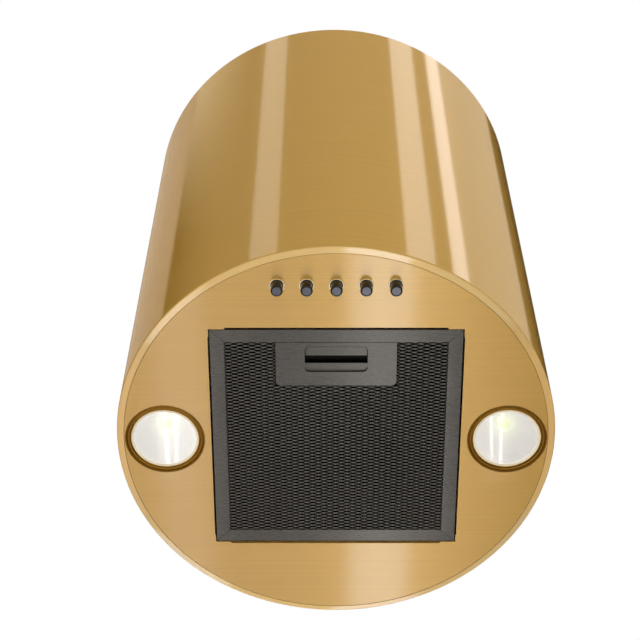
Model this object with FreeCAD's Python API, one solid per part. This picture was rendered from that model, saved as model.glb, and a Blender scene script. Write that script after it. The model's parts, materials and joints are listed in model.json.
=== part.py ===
import FreeCAD, Part
import math
import os

# Cylindrical island range hood that hangs from a ceiling.
# Millimetres. +Z is up, -Y is the side that faces the cook, +X is the cook's right.
# The origin is on the ceiling, at the centre of the ceiling ring's upper face.

V = FreeCAD.Vector
X_AXIS, Y_AXIS, Z_AXIS = V(1, 0, 0), V(0, 1, 0), V(0, 0, 1)
SIDES = {"left": -1, "right": 1}

# ---------------------------------------------------------------- driving dimensions
FACE_Z = -505.0  # visible underside of the bottom panel
TUBE_R = 195.0
TUBE_WALL = 1.0
TUBE_TOP_Z = -1.0
RIM_WIDTH = 6.1  # bevelled rim turned in at the foot of the tube
RIM_RISE = 1.5
PANEL_SHEET = 1.2
PANEL_R = TUBE_R - RIM_WIDTH - 0.4  # 0.4 mm seam between rim and panel
PANEL_TOP_Z = FACE_Z + PANEL_SHEET

FILTER_W = 218.6
FILTER_L = 225.8
FILTER_Y = -1.2  # the filter's centre lies a little in front of the tube's axis
FILTER_H = 9.0
FILTER_Z = FACE_Z + 0.4
FILTER_SHEET = 0.8
FRAME_FACE = 12.4  # visible width of a frame rail
OPENING_SIDE_GAP = 1.6
OPENING_END_GAP = 2.5
EAR_GAP = 0.9  # the sheet's flat corners come this close to the filter
EAR_X, EAR_Y = 14.7, 9.5

LAMP_X, LAMP_Y = 152.2, -1.5
LAMP_R = 35.7
LENS_R = 30.1

BUTTON_R = 5.2
BUTTON_PITCH = 25.2
BUTTON_Y = -157.8
BUTTON_PROUD = 10.0
BUTTON_TRAVEL = 4.0
BUTTON_XS = [(i - 2) * BUTTON_PITCH for i in range(5)]

CEILING_SHEET = 2.5
CEILING_R = TUBE_R - TUBE_WALL - 1.4
CEILING_HOLE_R = 100.0
CEILING_SKIRT = 32.0
ANCHOR_RING_R = 150.0
ANCHOR_HOLE_R = 4.25
CABLE_X, CABLE_Y = -25.0, -103.5  # the mains cable comes straight down through the ceiling ring
CABLE_NOTCH_R = 12.0
TUBE_SCREW_ANGLES = [18, 66, 114, 162]
TUBE_SCREW_Z = -16.0

BOX_X = 115.0  # half the chassis box's outer width
BOX_FRONT_Y, BOX_REAR_Y = -122.0, 120.5
BOX_SHEET = 1.0
BOX_TOP_Z = -205.0
LID_SHEET = 1.2
LID_TOP_Z = BOX_TOP_Z + LID_SHEET
STUDS = [(x, y) for x in (-45, 45) for y in (-128, 126.5)]
STUDS += [(x, y) for x in (-121.5, 121.5) for y in (-80, 80)]
RAIL_Y = 80.0
RAIL_LEG = 25.0
RAIL_SHEET = 2.0

FAN_Y, FAN_Z = 30.0, -325.0
WHEEL_R = 66.0
WHEEL_HALF = 62.0
SCROLL_R_START, SCROLL_R_END = 74.0, 100.0
SCROLL_FROM, SCROLL_TO = 50.0, -180.0  # degrees from +Y towards +Z
SCROLL_WALL = 2.0
SCROLL_HALF = 74.0
OUTLET_HALF = 70.0
FLANGE_HALF = 84.0
INLET_R = 58.0
SHAFT_R = 4.0
MOTOR_R = 40.0

DUCT_R = 75.0  # outside of the spigot, for a 150 mm duct
SPIGOT_WALL = 2.5
SPIGOT_FOOT_Z, SPIGOT_TOP_Z = -175.0, -125.0
DAMPER_Z = -160.0


# ---------------------------------------------------------------- shape helpers
def box(x0, x1, y0, y1, z0, z1):
    return Part.makeBox(x1 - x0, y1 - y0, z1 - z0, V(x0, y0, z0))


def cylinder(radius, z0, z1, x=0.0, y=0.0):
    return Part.makeCylinder(radius, z1 - z0, V(x, y, z0), Z_AXIS)


def ring(outer, inner, z0, z1, x=0.0, y=0.0):
    return cylinder(outer, z0, z1, x, y).cut(cylinder(inner, z0 - 1, z1 + 1, x, y))


def rod(radius, x0, x1, y=FAN_Y, z=FAN_Z):
    """A cylinder along X, on the blower's axis unless told otherwise."""
    return Part.makeCylinder(radius, x1 - x0, V(x0, y, z), X_AXIS)


def sleeve(outer, inner, x0, x1, y=FAN_Y, z=FAN_Z):
    return rod(outer, x0, x1, y, z).cut(rod(inner, x0 - 1, x1 + 1, y, z))


def fuse(shapes):
    shapes = list(shapes)
    whole = shapes[0]
    return whole.fuse(shapes[1:]).removeSplitter() if len(shapes) > 1 else whole


def rounded_wire(points):
    """A closed wire through (a, b, radius) points in the XZ plane; a radius rounds that corner."""
    n, edges, ends = len(points), [], []
    for i, (a, b, radius) in enumerate(points):
        here = V(a, 0, b)
        if not radius:
            ends.append((here, here))
            continue
        back = (V(points[i - 1][0], 0, points[i - 1][1]) - here).normalize()
        on = (V(points[(i + 1) % n][0], 0, points[(i + 1) % n][1]) - here).normalize()
        half = back.getAngle(on) / 2
        reach = radius / math.tan(half)
        start, end = here + back * reach, here + on * reach
        middle = (back + on).normalize()
        crown = here + middle * (radius / math.sin(half) - radius)
        edges.append(Part.Arc(start, crown, end).toShape())
        ends.append((start, end))
    for i in range(n):
        start, end = ends[i][1], ends[(i + 1) % n][0]
        if start.distanceToPoint(end) > 1e-6:
            edges.append(Part.makeLine(start, end))
    return Part.Wire(Part.__sortEdges__(edges))


def lathe(points, x=0.0, y=0.0):
    """Turns (radius, z, corner radius) points about a vertical axis at x, y."""
    face = Part.Face(rounded_wire(points))
    solid = face.revolve(V(0, 0, 0), Z_AXIS, 360)
    solid.translate(V(x, y, 0))
    return solid


def plate(points, z0, z1):
    """A flat polygon of (x, y) points, from z0 up to z1."""
    corners = [V(x, y, z0) for x, y in points]
    return Part.Face(Part.makePolygon(corners + corners[:1])).extrude(V(0, 0, z1 - z0))


def rounded_box(x0, x1, y0, y1, z0, z1, radius):
    """A box whose four upright edges are rounded."""
    solid = box(x0, x1, y0, y1, z0, z1)
    upright = [e for e in solid.Edges if abs(e.Vertexes[0].Z - e.Vertexes[-1].Z) > 1e-6]
    return solid.makeFillet(radius, upright)


def hexagon(across, z0, z1, x, y):
    r = across / math.sqrt(3)
    turns = [math.radians(60 * i) for i in range(6)]
    return plate([(x + r * math.cos(a), y + r * math.sin(a)) for a in turns], z0, z1)


def turned(solid, angle, centre=V(0, 0, 0), axis=Z_AXIS):
    moved = solid.copy()
    moved.rotate(centre, axis, angle)
    return moved


def mirrored(solid):
    return solid.mirror(V(0, 0, 0), X_AXIS)


def coil(radius, wire, turns, foot, length, along=Z_AXIS):
    """A compression spring made of short arcs; it starts at foot and runs along +Z or +Y."""
    steps = 2 * 6 * turns
    points = []
    for i in range(steps + 1):
        angle = 2 * math.pi * turns * i / steps
        points.append(V(radius * math.cos(angle), radius * math.sin(angle), length * i / steps))
    arcs = [Part.Arc(*points[i : i + 3]).toShape() for i in range(0, steps, 2)]
    start = arcs[0].tangentAt(arcs[0].FirstParameter)
    section = Part.Wire(Part.makeCircle(wire / 2, points[0], start))
    spring = Part.Wire(arcs).makePipeShell([section], True, True)
    if along == Y_AXIS:
        spring.rotate(V(0, 0, 0), X_AXIS, -90)
    spring.translate(foot)
    return spring


def save(node, *solids):
    os.makedirs("parts", exist_ok=True)
    found = [s for shape in solids for s in shape.Solids]
    bad = [s for s in found if not s.isValid() or s.Volume <= 0]
    if bad or not found:
        raise ValueError(node + " has a solid that isn't valid")
    Part.makeCompound(found).exportStep("parts/" + node + ".step")
    print(node, len(found), round(sum(s.Volume for s in found) / 1000, 2), "cm3")


# ---------------------------------------------------------------- casing
def outer_tube():
    slope = RIM_RISE / RIM_WIDTH
    lift = TUBE_WALL * math.hypot(1, slope)  # upright thickness of the sloping rim
    inner_r = TUBE_R - TUBE_WALL
    rim_r = TUBE_R - RIM_WIDTH
    bend_z = FACE_Z + RIM_RISE
    tube = lathe(
        [
            (TUBE_R, TUBE_TOP_Z, 0),
            (TUBE_R, bend_z, 1.6),
            (rim_r, FACE_Z, 0),
            (rim_r, FACE_Z + lift, 0),
            (inner_r, bend_z - slope * TUBE_WALL + lift, 0.6),
            (inner_r, TUBE_TOP_Z, 0),
        ]
    )
    hole = rod(2.2, inner_r - 5, TUBE_R + 5, 0, TUBE_SCREW_Z)
    return tube.cut([turned(hole, a) for a in TUBE_SCREW_ANGLES])


def tube_screws():
    reach = CEILING_R - 6
    shank = rod(2.0, reach, TUBE_R, 0, TUBE_SCREW_Z)
    head = rod(3.9, TUBE_R, TUBE_R + 1.8, 0, TUBE_SCREW_Z)
    head = head.makeFillet(1.2, [e for e in head.Edges if e.BoundBox.XMin > TUBE_R + 1.7])
    screw = shank.fuse(head)
    return [turned(screw, a) for a in TUBE_SCREW_ANGLES]


def opening(gap_x, gap_y, z0, z1):
    half_w, half_l = FILTER_W / 2 + gap_x, FILTER_L / 2 + gap_y
    return box(-half_w, half_w, FILTER_Y - half_l, FILTER_Y + half_l, z0, z1)


def opening_flanges():
    """Upright edges folded up round the filter opening, notched for the rear tabs and the catches."""
    half_w = FILTER_W / 2 + OPENING_SIDE_GAP
    half_l = FILTER_L / 2 + OPENING_END_GAP
    top = PANEL_TOP_Z + 10.8
    front, rear = FILTER_Y - half_l, FILTER_Y + half_l
    run_x, run_y = half_w - EAR_X, half_l - EAR_Y
    sides = [
        box(s[0], s[1], FILTER_Y - run_y, FILTER_Y + run_y, FACE_Z, top)
        for s in ((-half_w - PANEL_SHEET, -half_w), (half_w, half_w + PANEL_SHEET))
    ]
    front_edge = box(-run_x, run_x, front - PANEL_SHEET, front, FACE_Z, top)
    rear_edge = box(-run_x, run_x, rear, rear + PANEL_SHEET, FACE_Z, top)
    for x in (-28, 28):
        window = box(x - 9.5, x + 9.5, front - 2, front + 1, FILTER_Z + 3.2, FILTER_Z + 6.5)
        front_edge = front_edge.cut(window)
        notch = box(x * 2 - 8, x * 2 + 8, rear - 1, rear + 2, FILTER_Z + 4.0, top + 1)
        rear_edge = rear_edge.cut(notch)
    return sides + [front_edge, rear_edge]


def bottom_panel():
    seat_z = FACE_Z + 2.3  # the joggled edge rests above the tube's rim
    wall_r = PANEL_R - PANEL_SHEET
    edge_r = TUBE_R - TUBE_WALL - 1.0
    panel = lathe(
        [
            (0, FACE_Z, 0),
            (PANEL_R, FACE_Z, 0.4),
            (PANEL_R, seat_z, 0),
            (edge_r, seat_z, 0),
            (edge_r, seat_z + PANEL_SHEET, 0),
            (wall_r, seat_z + PANEL_SHEET, 0),
            (wall_r, PANEL_TOP_Z, 0),
            (0, PANEL_TOP_Z, 0),
        ]
    )
    low, high = FACE_Z - 1, PANEL_TOP_Z + 1
    wide = opening(OPENING_SIDE_GAP, OPENING_END_GAP, low, high)
    half_w, half_l = FILTER_W / 2 + OPENING_SIDE_GAP, FILTER_L / 2 + OPENING_END_GAP
    for sx in (-1, 1):
        for sy in (-1, 1):
            x0, x1 = sorted((sx * (half_w - EAR_X), sx * (half_w + 1)))
            y0, y1 = sorted((sy * (half_l - EAR_Y), sy * (half_l + 1)))
            wide = wide.cut(box(x0, x1, FILTER_Y + y0, FILTER_Y + y1, low, high))
    cuts = [wide.fuse(opening(EAR_GAP, EAR_GAP, low, high))]
    cuts += [cylinder(LAMP_R - 0.8, low, high, s * LAMP_X, LAMP_Y) for s in SIDES.values()]
    cuts += [cylinder(BUTTON_R + 0.7, low, high, x, BUTTON_Y) for x in BUTTON_XS]
    panel = panel.cut(cuts)
    studs = [cylinder(1.9, PANEL_TOP_Z, PANEL_TOP_Z + 11, x, y) for x, y in STUDS]
    studs += [cylinder(1.4, PANEL_TOP_Z, PANEL_TOP_Z + 9, x, BUTTON_Y) for x in (-71, 71)]
    return fuse([panel] + opening_flanges() + studs)


def panel_nuts():
    """The nuts that hold the panel under the chassis box and the switch block on the panel."""
    nuts = []
    for x, y in STUDS:
        foot = PANEL_TOP_Z + BOX_SHEET
        nuts.append(hexagon(7, foot, foot + 3.2, x, y).cut(cylinder(1.9, foot - 1, foot + 5, x, y)))
    for x in (-71, 71):
        foot = PANEL_TOP_Z + 3
        nut = hexagon(5.5, foot, foot + 2.4, x, BUTTON_Y)
        nuts.append(nut.cut(cylinder(1.4, foot - 1, foot + 4, x, BUTTON_Y)))
    return nuts


# ---------------------------------------------------------------- ceiling ring and chassis
def rail_spots():
    return [(sx, sy) for sx in (-1, 1) for sy in (-1, 1)]


def ceiling_ring():
    body = ring(CEILING_R, CEILING_HOLE_R, -CEILING_SHEET, 0)
    skirt = ring(CEILING_R, CEILING_R - 2, -CEILING_SKIRT, -CEILING_SHEET)
    body = body.fuse(skirt)
    low, high = -CEILING_SHEET - 1, 1
    anchor = cylinder(ANCHOR_HOLE_R, low, high, ANCHOR_RING_R, 0)
    cuts = [turned(anchor, 90 * i) for i in range(4)]
    middle = BOX_X + RAIL_LEG / 2
    cuts += [cylinder(3.1, low, high, sx * middle, sy * RAIL_Y) for sx, sy in rail_spots()]
    cuts.append(cylinder(CABLE_NOTCH_R, low, high, CABLE_X, CABLE_Y))
    tapped = rod(2.0, CEILING_R - 5, CEILING_R + 5, 0, TUBE_SCREW_Z)
    cuts += [turned(tapped, a) for a in TUBE_SCREW_ANGLES]
    return body.cut(cuts).removeSplitter()


def hanger_rails():
    """Four angle rails that hang the chassis box under the ceiling ring."""
    half = RAIL_LEG / 2
    foot, top = BOX_TOP_Z - 80, -CEILING_SHEET
    flat = box(BOX_X, BOX_X + RAIL_SHEET, RAIL_Y - half, RAIL_Y + half, foot, top)
    leg_y = RAIL_Y + half
    leg = box(BOX_X, BOX_X + RAIL_LEG, leg_y - RAIL_SHEET, leg_y, foot, top)
    tab = box(BOX_X, BOX_X + RAIL_LEG, RAIL_Y - half, leg_y, top - RAIL_SHEET, top)
    rail = fuse([flat, leg, tab])
    cuts = [cylinder(3.1, top - 5, top + 1, BOX_X + half, RAIL_Y)]
    cuts += [rod(2.6, BOX_X - 5, BOX_X + 5, RAIL_Y, BOX_TOP_Z - d) for d in (20, 60)]
    rail = rail.cut(cuts)
    rails = []
    for sx, sy in rail_spots():
        placed = rail if sy > 0 else rail.mirror(V(0, 0, 0), Y_AXIS)
        rails.append(placed if sx > 0 else mirrored(placed))
    return rails


def rail_bolts():
    """M6 bolts up into the ceiling ring and M5 bolts into the chassis box, each with its nut."""
    bolts = []
    tab = -CEILING_SHEET - RAIL_SHEET
    middle = BOX_X + RAIL_LEG / 2
    for sx, sy in rail_spots():
        x, y = sx * middle, sy * RAIL_Y
        head = hexagon(10, tab - 4, tab, x, y)
        bolts.append(head.fuse(cylinder(3.0, tab, -0.2, x, y)))
        for drop in (20, 60):
            z = BOX_TOP_Z - drop
            outer = BOX_X + RAIL_SHEET
            shank = rod(2.5, BOX_X - 7, outer, sy * RAIL_Y, z)
            cap = rod(4.5, outer, outer + 3, sy * RAIL_Y, z)
            nut = sleeve(4.4, 2.5, BOX_X - 5, BOX_X - BOX_SHEET, sy * RAIL_Y, z)
            pair = [shank.fuse(cap), nut]
            bolts += pair if sx > 0 else [mirrored(s) for s in pair]
    return bolts


def chassis_box():
    foot = PANEL_TOP_Z
    shell = box(-BOX_X, BOX_X, BOX_FRONT_Y, BOX_REAR_Y, foot, BOX_TOP_Z)
    inner = BOX_X - BOX_SHEET
    front, rear = BOX_FRONT_Y + BOX_SHEET, BOX_REAR_Y - BOX_SHEET
    shell = shell.cut(box(-inner, inner, front, rear, foot - 1, BOX_TOP_Z + 1))
    tab_z = foot + BOX_SHEET
    tabs = [
        box(-60, 60, BOX_FRONT_Y - 12, BOX_FRONT_Y, foot, tab_z),
        box(-60, 60, BOX_REAR_Y, BOX_REAR_Y + 12, foot, tab_z),
    ]
    for sx in (-1, 1):
        x0, x1 = sorted((sx * BOX_X, sx * (BOX_X + 12)))
        tabs += [box(x0, x1, y - 18, y + 18, foot, tab_z) for y in (-80, 80)]
    shell = fuse([shell] + tabs)
    cuts = [cylinder(2.1, foot - 1, tab_z + 1, x, y) for x, y in STUDS]
    cuts += [
        rod(2.6, -BOX_X - 5, BOX_X + 5, sy * RAIL_Y, BOX_TOP_Z - drop)
        for sy in (-1, 1)
        for drop in (20, 60)
    ]
    cuts += lid_screw_holes(1.6)
    return shell.cut(cuts)


def lid_screw_holes(radius):
    """Screws through the box's front and rear walls into the lid's lips."""
    return [
        Part.makeCylinder(radius, 8, V(x, y - 4, BOX_TOP_Z - 7), Y_AXIS)
        for x in (-80, 0, 80)
        for y in (BOX_FRONT_Y, BOX_REAR_Y)
    ]


def box_lid():
    top = box(-BOX_X, BOX_X, BOX_FRONT_Y, BOX_REAR_Y, BOX_TOP_Z, LID_TOP_Z)
    inner = BOX_X - BOX_SHEET - 0.2
    front, rear = BOX_FRONT_Y + BOX_SHEET + 0.2, BOX_REAR_Y - BOX_SHEET - 0.2
    lip_z = BOX_TOP_Z - 14
    lips = [
        box(-100, 100, front, front + 1, lip_z, BOX_TOP_Z),
        box(-100, 100, rear - 1, rear, lip_z, BOX_TOP_Z),
        box(-inner, 1 - inner, -60, 60, lip_z, BOX_TOP_Z),
        box(inner - 1, inner, -60, 60, lip_z, BOX_TOP_Z),
    ]
    lid = fuse([top] + lips)
    mouth = box(-OUTLET_HALF, OUTLET_HALF, -OUTLET_HALF, OUTLET_HALF, BOX_TOP_Z - 1, LID_TOP_Z + 1)
    cuts = [mouth] + lid_screw_holes(1.5)
    cuts += [cylinder(2.1, BOX_TOP_Z - 1, LID_TOP_Z + 1, x, y) for x, y in flange_spots()]
    return lid.cut(cuts)


def lid_screws():
    screws = []
    for x in (-80, 0, 80):
        for y, way in ((BOX_FRONT_Y, 1), (BOX_REAR_Y, -1)):
            at = V(x, y, BOX_TOP_Z - 7)
            shank = Part.makeCylinder(1.45, 6, at, V(0, way, 0))
            head = Part.makeCylinder(3.2, 1.8, at, V(0, -way, 0))
            screws.append(shank.fuse(head))
    return screws


# ---------------------------------------------------------------- blower
def flange_spots():
    reach = FLANGE_HALF - 6
    return [(sx * reach, sy * reach) for sx, sy in rail_spots()]


def scroll_face(offset):
    """The blower housing's outline in the YZ plane: a spiral that opens into an outlet straight up."""
    points = []
    steps = 14
    for i in range(steps + 1):
        share = i / steps
        angle = math.radians(SCROLL_FROM + (SCROLL_TO - SCROLL_FROM) * share)
        r = SCROLL_R_START + (SCROLL_R_END - SCROLL_R_START) * share + offset
        points.append(V(0, FAN_Y + r * math.cos(angle), FAN_Z + r * math.sin(angle)))
    spiral = Part.BSplineCurve()
    spiral.interpolate(points)
    far = V(0, points[-1].y, BOX_TOP_Z)
    near = V(0, OUTLET_HALF + offset, BOX_TOP_Z)
    edges = [spiral.toShape()]
    edges += [Part.makeLine(a, b) for a, b in ((points[-1], far), (far, near), (near, points[0]))]
    return Part.Face(Part.Wire(edges))


def scroll_boss_spots():
    """Screw bosses round the outside of the blower housing."""
    spots = []
    for angle in (20, -60, -120, -165):
        share = (angle - SCROLL_FROM) / (SCROLL_TO - SCROLL_FROM)
        r = SCROLL_R_START + (SCROLL_R_END - SCROLL_R_START) * share + SCROLL_WALL + 3.6
        turn = math.radians(angle)
        spots.append((FAN_Y + r * math.cos(turn), FAN_Z + r * math.sin(turn)))
    return spots


def motor_screw_spots():
    return [
        (FAN_Y + 67 * math.cos(math.radians(a)), FAN_Z + 67 * math.sin(math.radians(a)))
        for a in (30, 150, 270)
    ]


def fan_housing(side):
    """One moulded half of the scroll, from the middle plane out to its inlet ring."""
    outer = scroll_face(SCROLL_WALL).extrude(V(SCROLL_HALF, 0, 0))
    flange = box(0, FLANGE_HALF, -FLANGE_HALF, FLANGE_HALF, BOX_TOP_Z - 3, BOX_TOP_Z)
    lip = rod(INLET_R + 4, SCROLL_HALF - 1, SCROLL_HALF + 6)
    bosses = [rod(4, 0, 12, y, z) for y, z in scroll_boss_spots()]
    if side == "right":
        bosses += [rod(4.5, SCROLL_HALF - 1, SCROLL_HALF + 6, y, z) for y, z in motor_screw_spots()]
    half = fuse([outer, flange, lip] + bosses)
    cuts = [scroll_face(0).extrude(V(SCROLL_HALF - SCROLL_WALL, 0, 0))]
    cuts += [rod(INLET_R, SCROLL_HALF - 10, SCROLL_HALF + 10)]
    cuts += [rod(1.6, -1, 15, y, z) for y, z in scroll_boss_spots()]
    cuts += [cylinder(2.1, BOX_TOP_Z - 5, BOX_TOP_Z + 1, x, y) for x, y in flange_spots() if x > 0]
    if side == "right":
        cuts += [rod(1.6, SCROLL_HALF - 3, SCROLL_HALF + 8, y, z) for y, z in motor_screw_spots()]
    half = half.cut(cuts)
    return half if side == "right" else mirrored(half)


def blower_screws():
    """Screws that join the housing halves, hold the motor bracket and fix the outlet to the lid."""
    screws = []
    for y, z in scroll_boss_spots():
        screws.append(rod(1.5, -11, 12, y, z).fuse(rod(3, 12, 14, y, z)))
    for y, z in motor_screw_spots():
        tip = SCROLL_HALF - 1.5
        cap = SCROLL_HALF + 9.5
        screws.append(rod(1.5, tip, cap, y, z).fuse(rod(3.2, cap, cap + 2, y, z)))
    for x, y in flange_spots():
        head_z = LID_TOP_Z + 3
        shank = cylinder(2.0, BOX_TOP_Z - 8, head_z, x, y)
        screws.append(shank.fuse(cylinder(3.8, head_z, head_z + 2.4, x, y)))
    return screws


def impeller():
    """Double-inlet wheel: a middle disc with its hub, two end rings and forward-leaning blades."""
    blades, count = [], 30
    for i in range(count):
        blade = box(-WHEEL_HALF + 1, WHEEL_HALF - 1, 55.5, 66.5, -0.55, 0.55)
        blade.rotate(V(0, 61, 0), X_AXIS, 38)
        blades.append(turned(blade, 360 * i / count, V(0, 0, 0), X_AXIS))
    origin_rod = lambda r, x0, x1: rod(r, x0, x1, 0, 0)
    disc = origin_rod(62, -1.1, 1.1)
    hub = origin_rod(12, -8, 8)
    rings = []
    for x0, x1 in ((-WHEEL_HALF, -WHEEL_HALF + 4), (WHEEL_HALF - 4, WHEEL_HALF)):
        rings.append(origin_rod(WHEEL_R, x0, x1).cut(origin_rod(56.5, x0 - 1, x1 + 1)))
    wheel = disc.fuse([hub] + rings + blades)
    wheel = wheel.cut(origin_rod(SHAFT_R, -20, 20))
    wheel.translate(V(0, FAN_Y, FAN_Z))
    return wheel


def motor_can():
    shell = rod(MOTOR_R, 12, 78).cut(rod(MOTOR_R - 1.5, 14, 79))
    seat = rod(10.5, 10, 14)
    can = shell.fuse(seat).cut(rod(9, 5, 20))
    slots = []
    for i in range(10):
        slot = box(16, 25, FAN_Y - 2, FAN_Y + 2, FAN_Z + 30, FAN_Z + 45)
        slots.append(turned(slot, 36 * i, V(0, FAN_Y, FAN_Z), X_AXIS))
    return can.cut(slots)


def motor_end_cap():
    cap = rod(MOTOR_R, 78, 80).fuse(rod(10.5, 74, 83)).cut(rod(9, 70, 90))
    vents = []
    for i in range(6):
        vent = rod(5, 76, 82, FAN_Y, FAN_Z + 24)
        vents.append(turned(vent, 60 * i, V(0, FAN_Y, FAN_Z), X_AXIS))
    return cap.cut(vents)


def motor_bracket():
    """A ring over the motor's end cap, with three arms out to the housing."""
    hub = sleeve(MOTOR_R + 3, 33, 80, SCROLL_HALF + 8)
    arms = []
    for a in (30, 150, 270):
        arm = box(80, SCROLL_HALF + 8, FAN_Y + 34, FAN_Y + 72, FAN_Z - 6, FAN_Z + 6)
        arms.append(turned(arm, a, V(0, FAN_Y, FAN_Z), X_AXIS))
    plate_ring = fuse([hub] + arms)
    return plate_ring.cut([rod(1.6, 70, 90, y, z) for y, z in motor_screw_spots()])


def motor_pads():
    """Rubber washers under the bracket's screws, against hum."""
    foot = SCROLL_HALF + 8
    return [sleeve(4.5, 1.6, foot, foot + 1.5, y, z) for y, z in motor_screw_spots()]


def shaft_bushes():
    return [sleeve(9, SHAFT_R + 0.05, x, x + 8) for x in (9.5, 75)]


# ---------------------------------------------------------------- outlet and dampers
def square_to_round(half, radius, z0, z1):
    corners = [V(-half, -half, z0), V(half, -half, z0), V(half, half, z0), V(-half, half, z0)]
    foot = Part.makePolygon(corners + corners[:1])
    starts = (225, 315, 405, 495)
    arcs = [Part.makeCircle(radius, V(0, 0, z1), Z_AXIS, a, a + 90) for a in starts]
    return Part.makeLoft([foot, Part.Wire(arcs)], True, True)


def outlet_collar():
    foot = LID_TOP_Z
    inner_r = DUCT_R - SPIGOT_WALL
    base = box(-FLANGE_HALF, FLANGE_HALF, -FLANGE_HALF, FLANGE_HALF, foot, foot + 3)
    neck = square_to_round(OUTLET_HALF + SPIGOT_WALL, DUCT_R, foot, SPIGOT_FOOT_Z)
    spigot = cylinder(DUCT_R, SPIGOT_FOOT_Z, SPIGOT_TOP_Z)
    body = base.fuse([neck, spigot])
    inside = square_to_round(OUTLET_HALF, inner_r, foot, SPIGOT_FOOT_Z)
    body = body.cut([inside, cylinder(inner_r, SPIGOT_FOOT_Z, SPIGOT_TOP_Z + 1)])
    ledge = ring(inner_r + 0.5, inner_r - 3, DAMPER_Z - 3.1, DAMPER_Z - 1.1)
    pin_hole = Part.makeCylinder(1.5, 2 * DUCT_R + 2, V(0, -DUCT_R - 1, DAMPER_Z), Y_AXIS)
    body = body.fuse(ledge).cut([pin_hole])
    return body.cut([cylinder(2.1, foot - 1, foot + 5, x, y) for x, y in flange_spots()])


def damper_pin():
    return Part.makeCylinder(1.5, 2 * DUCT_R - 1, V(0, 0.5 - DUCT_R, DAMPER_Z), Y_AXIS)


def damper_flap(side):
    """A half-round flap with two knuckles on the shared pin."""
    half_sheet, start = 0.75, 6.0
    radius = DUCT_R - SPIGOT_WALL - 1.2
    leaf = cylinder(radius, DAMPER_Z - half_sheet, DAMPER_Z + half_sheet)
    leaf = leaf.common(box(start, DUCT_R, -DUCT_R, DUCT_R, DAMPER_Z - 5, DAMPER_Z + 5))
    spans = ((-52, -32), (6, 26)) if side == "right" else ((-26, -6), (32, 52))
    pieces = [leaf]
    for y0, y1 in spans:
        pieces.append(Part.makeCylinder(3, y1 - y0, V(0, y0, DAMPER_Z), Y_AXIS))
        pieces.append(box(0, start + 1, y0, y1, DAMPER_Z - half_sheet, DAMPER_Z + half_sheet))
    flap = fuse(pieces).cut(Part.makeCylinder(1.55, 200, V(0, -100, DAMPER_Z), Y_AXIS))
    return flap if side == "right" else mirrored(flap)


# ---------------------------------------------------------------- controls
SWITCH_TOP_Z = PANEL_TOP_Z + 33.8
BUTTON_FLANGE_Z = PANEL_TOP_Z + 1.3
BUTTON_FLANGE_H = 2.0
SPRING_SEAT_Z = PANEL_TOP_Z + 15.8
STEM_R = 2.2


def switch_block():
    body = box(-64, 64, BUTTON_Y - 15, BUTTON_Y + 15, PANEL_TOP_Z, SWITCH_TOP_Z)
    ears = box(-76, 76, BUTTON_Y - 6, BUTTON_Y + 6, PANEL_TOP_Z, PANEL_TOP_Z + 3)
    cuts = [cylinder(1.5, PANEL_TOP_Z - 1, PANEL_TOP_Z + 5, x, BUTTON_Y) for x in (-71, 71)]
    for x in BUTTON_XS:
        cuts.append(cylinder(7.3, PANEL_TOP_Z - 1, SPRING_SEAT_Z, x, BUTTON_Y))
        cuts.append(cylinder(STEM_R + 0.08, SPRING_SEAT_Z - 1, SWITCH_TOP_Z - 3, x, BUTTON_Y))
    return fuse([body, ears]).cut(cuts)


def push_button(x):
    """A round cap with a retaining flange and a stem up into the switch block."""
    tip = FACE_Z - BUTTON_PROUD
    flange_top = BUTTON_FLANGE_Z + BUTTON_FLANGE_H
    return lathe(
        [
            (0, tip, 0),
            (BUTTON_R, tip, 0.9),
            (BUTTON_R, BUTTON_FLANGE_Z, 0),
            (6.8, BUTTON_FLANGE_Z, 0),
            (6.8, flange_top, 0),
            (STEM_R, flange_top, 0),
            (STEM_R, SWITCH_TOP_Z - 8, 0),
            (0, SWITCH_TOP_Z - 8, 0),
        ],
        x,
        BUTTON_Y,
    )


def button_spring(x):
    foot = BUTTON_FLANGE_Z + BUTTON_FLANGE_H + 0.5
    length = SPRING_SEAT_Z - foot - 0.5
    return coil(4.2, 0.7, 5, V(x, BUTTON_Y, foot), length)


def button_bezels():
    """Thin collars that line the panel's button holes."""
    collars = []
    for x in BUTTON_XS:
        collars.append(
            lathe(
                [
                    (BUTTON_R + 0.35, FACE_Z - 0.5, 0),
                    (BUTTON_R + 1.4, FACE_Z - 0.5, 0.3),
                    (BUTTON_R + 1.4, FACE_Z, 0),
                    (BUTTON_R + 0.7, FACE_Z, 0),
                    (BUTTON_R + 0.7, PANEL_TOP_Z + 0.8, 0),
                    (BUTTON_R + 0.35, PANEL_TOP_Z + 0.8, 0),
                ],
                x,
                BUTTON_Y,
            )
        )
    return collars


def control_board():
    """The relay board on top of the switch block, with its relays and connector."""
    z = SWITCH_TOP_Z
    board = box(-60, 60, BUTTON_Y - 14, BUTTON_Y + 14, z, z + 1.6)
    relays = [box(x, x + 15, BUTTON_Y - 9, BUTTON_Y + 3, z + 1.6, z + 13) for x in (-50, -28, -6, 16)]
    connector = box(38, 56, BUTTON_Y - 8, BUTTON_Y + 6, z + 1.6, z + 9)
    return fuse([board] + relays + [connector])


# ---------------------------------------------------------------- lamps
LENS_FOOT_Z = FACE_Z + 1.4
LENS_H = 3.0
LED_Z = FACE_Z + 26.0
LAMP_TOP_Z = LED_Z + 1.6


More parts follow.
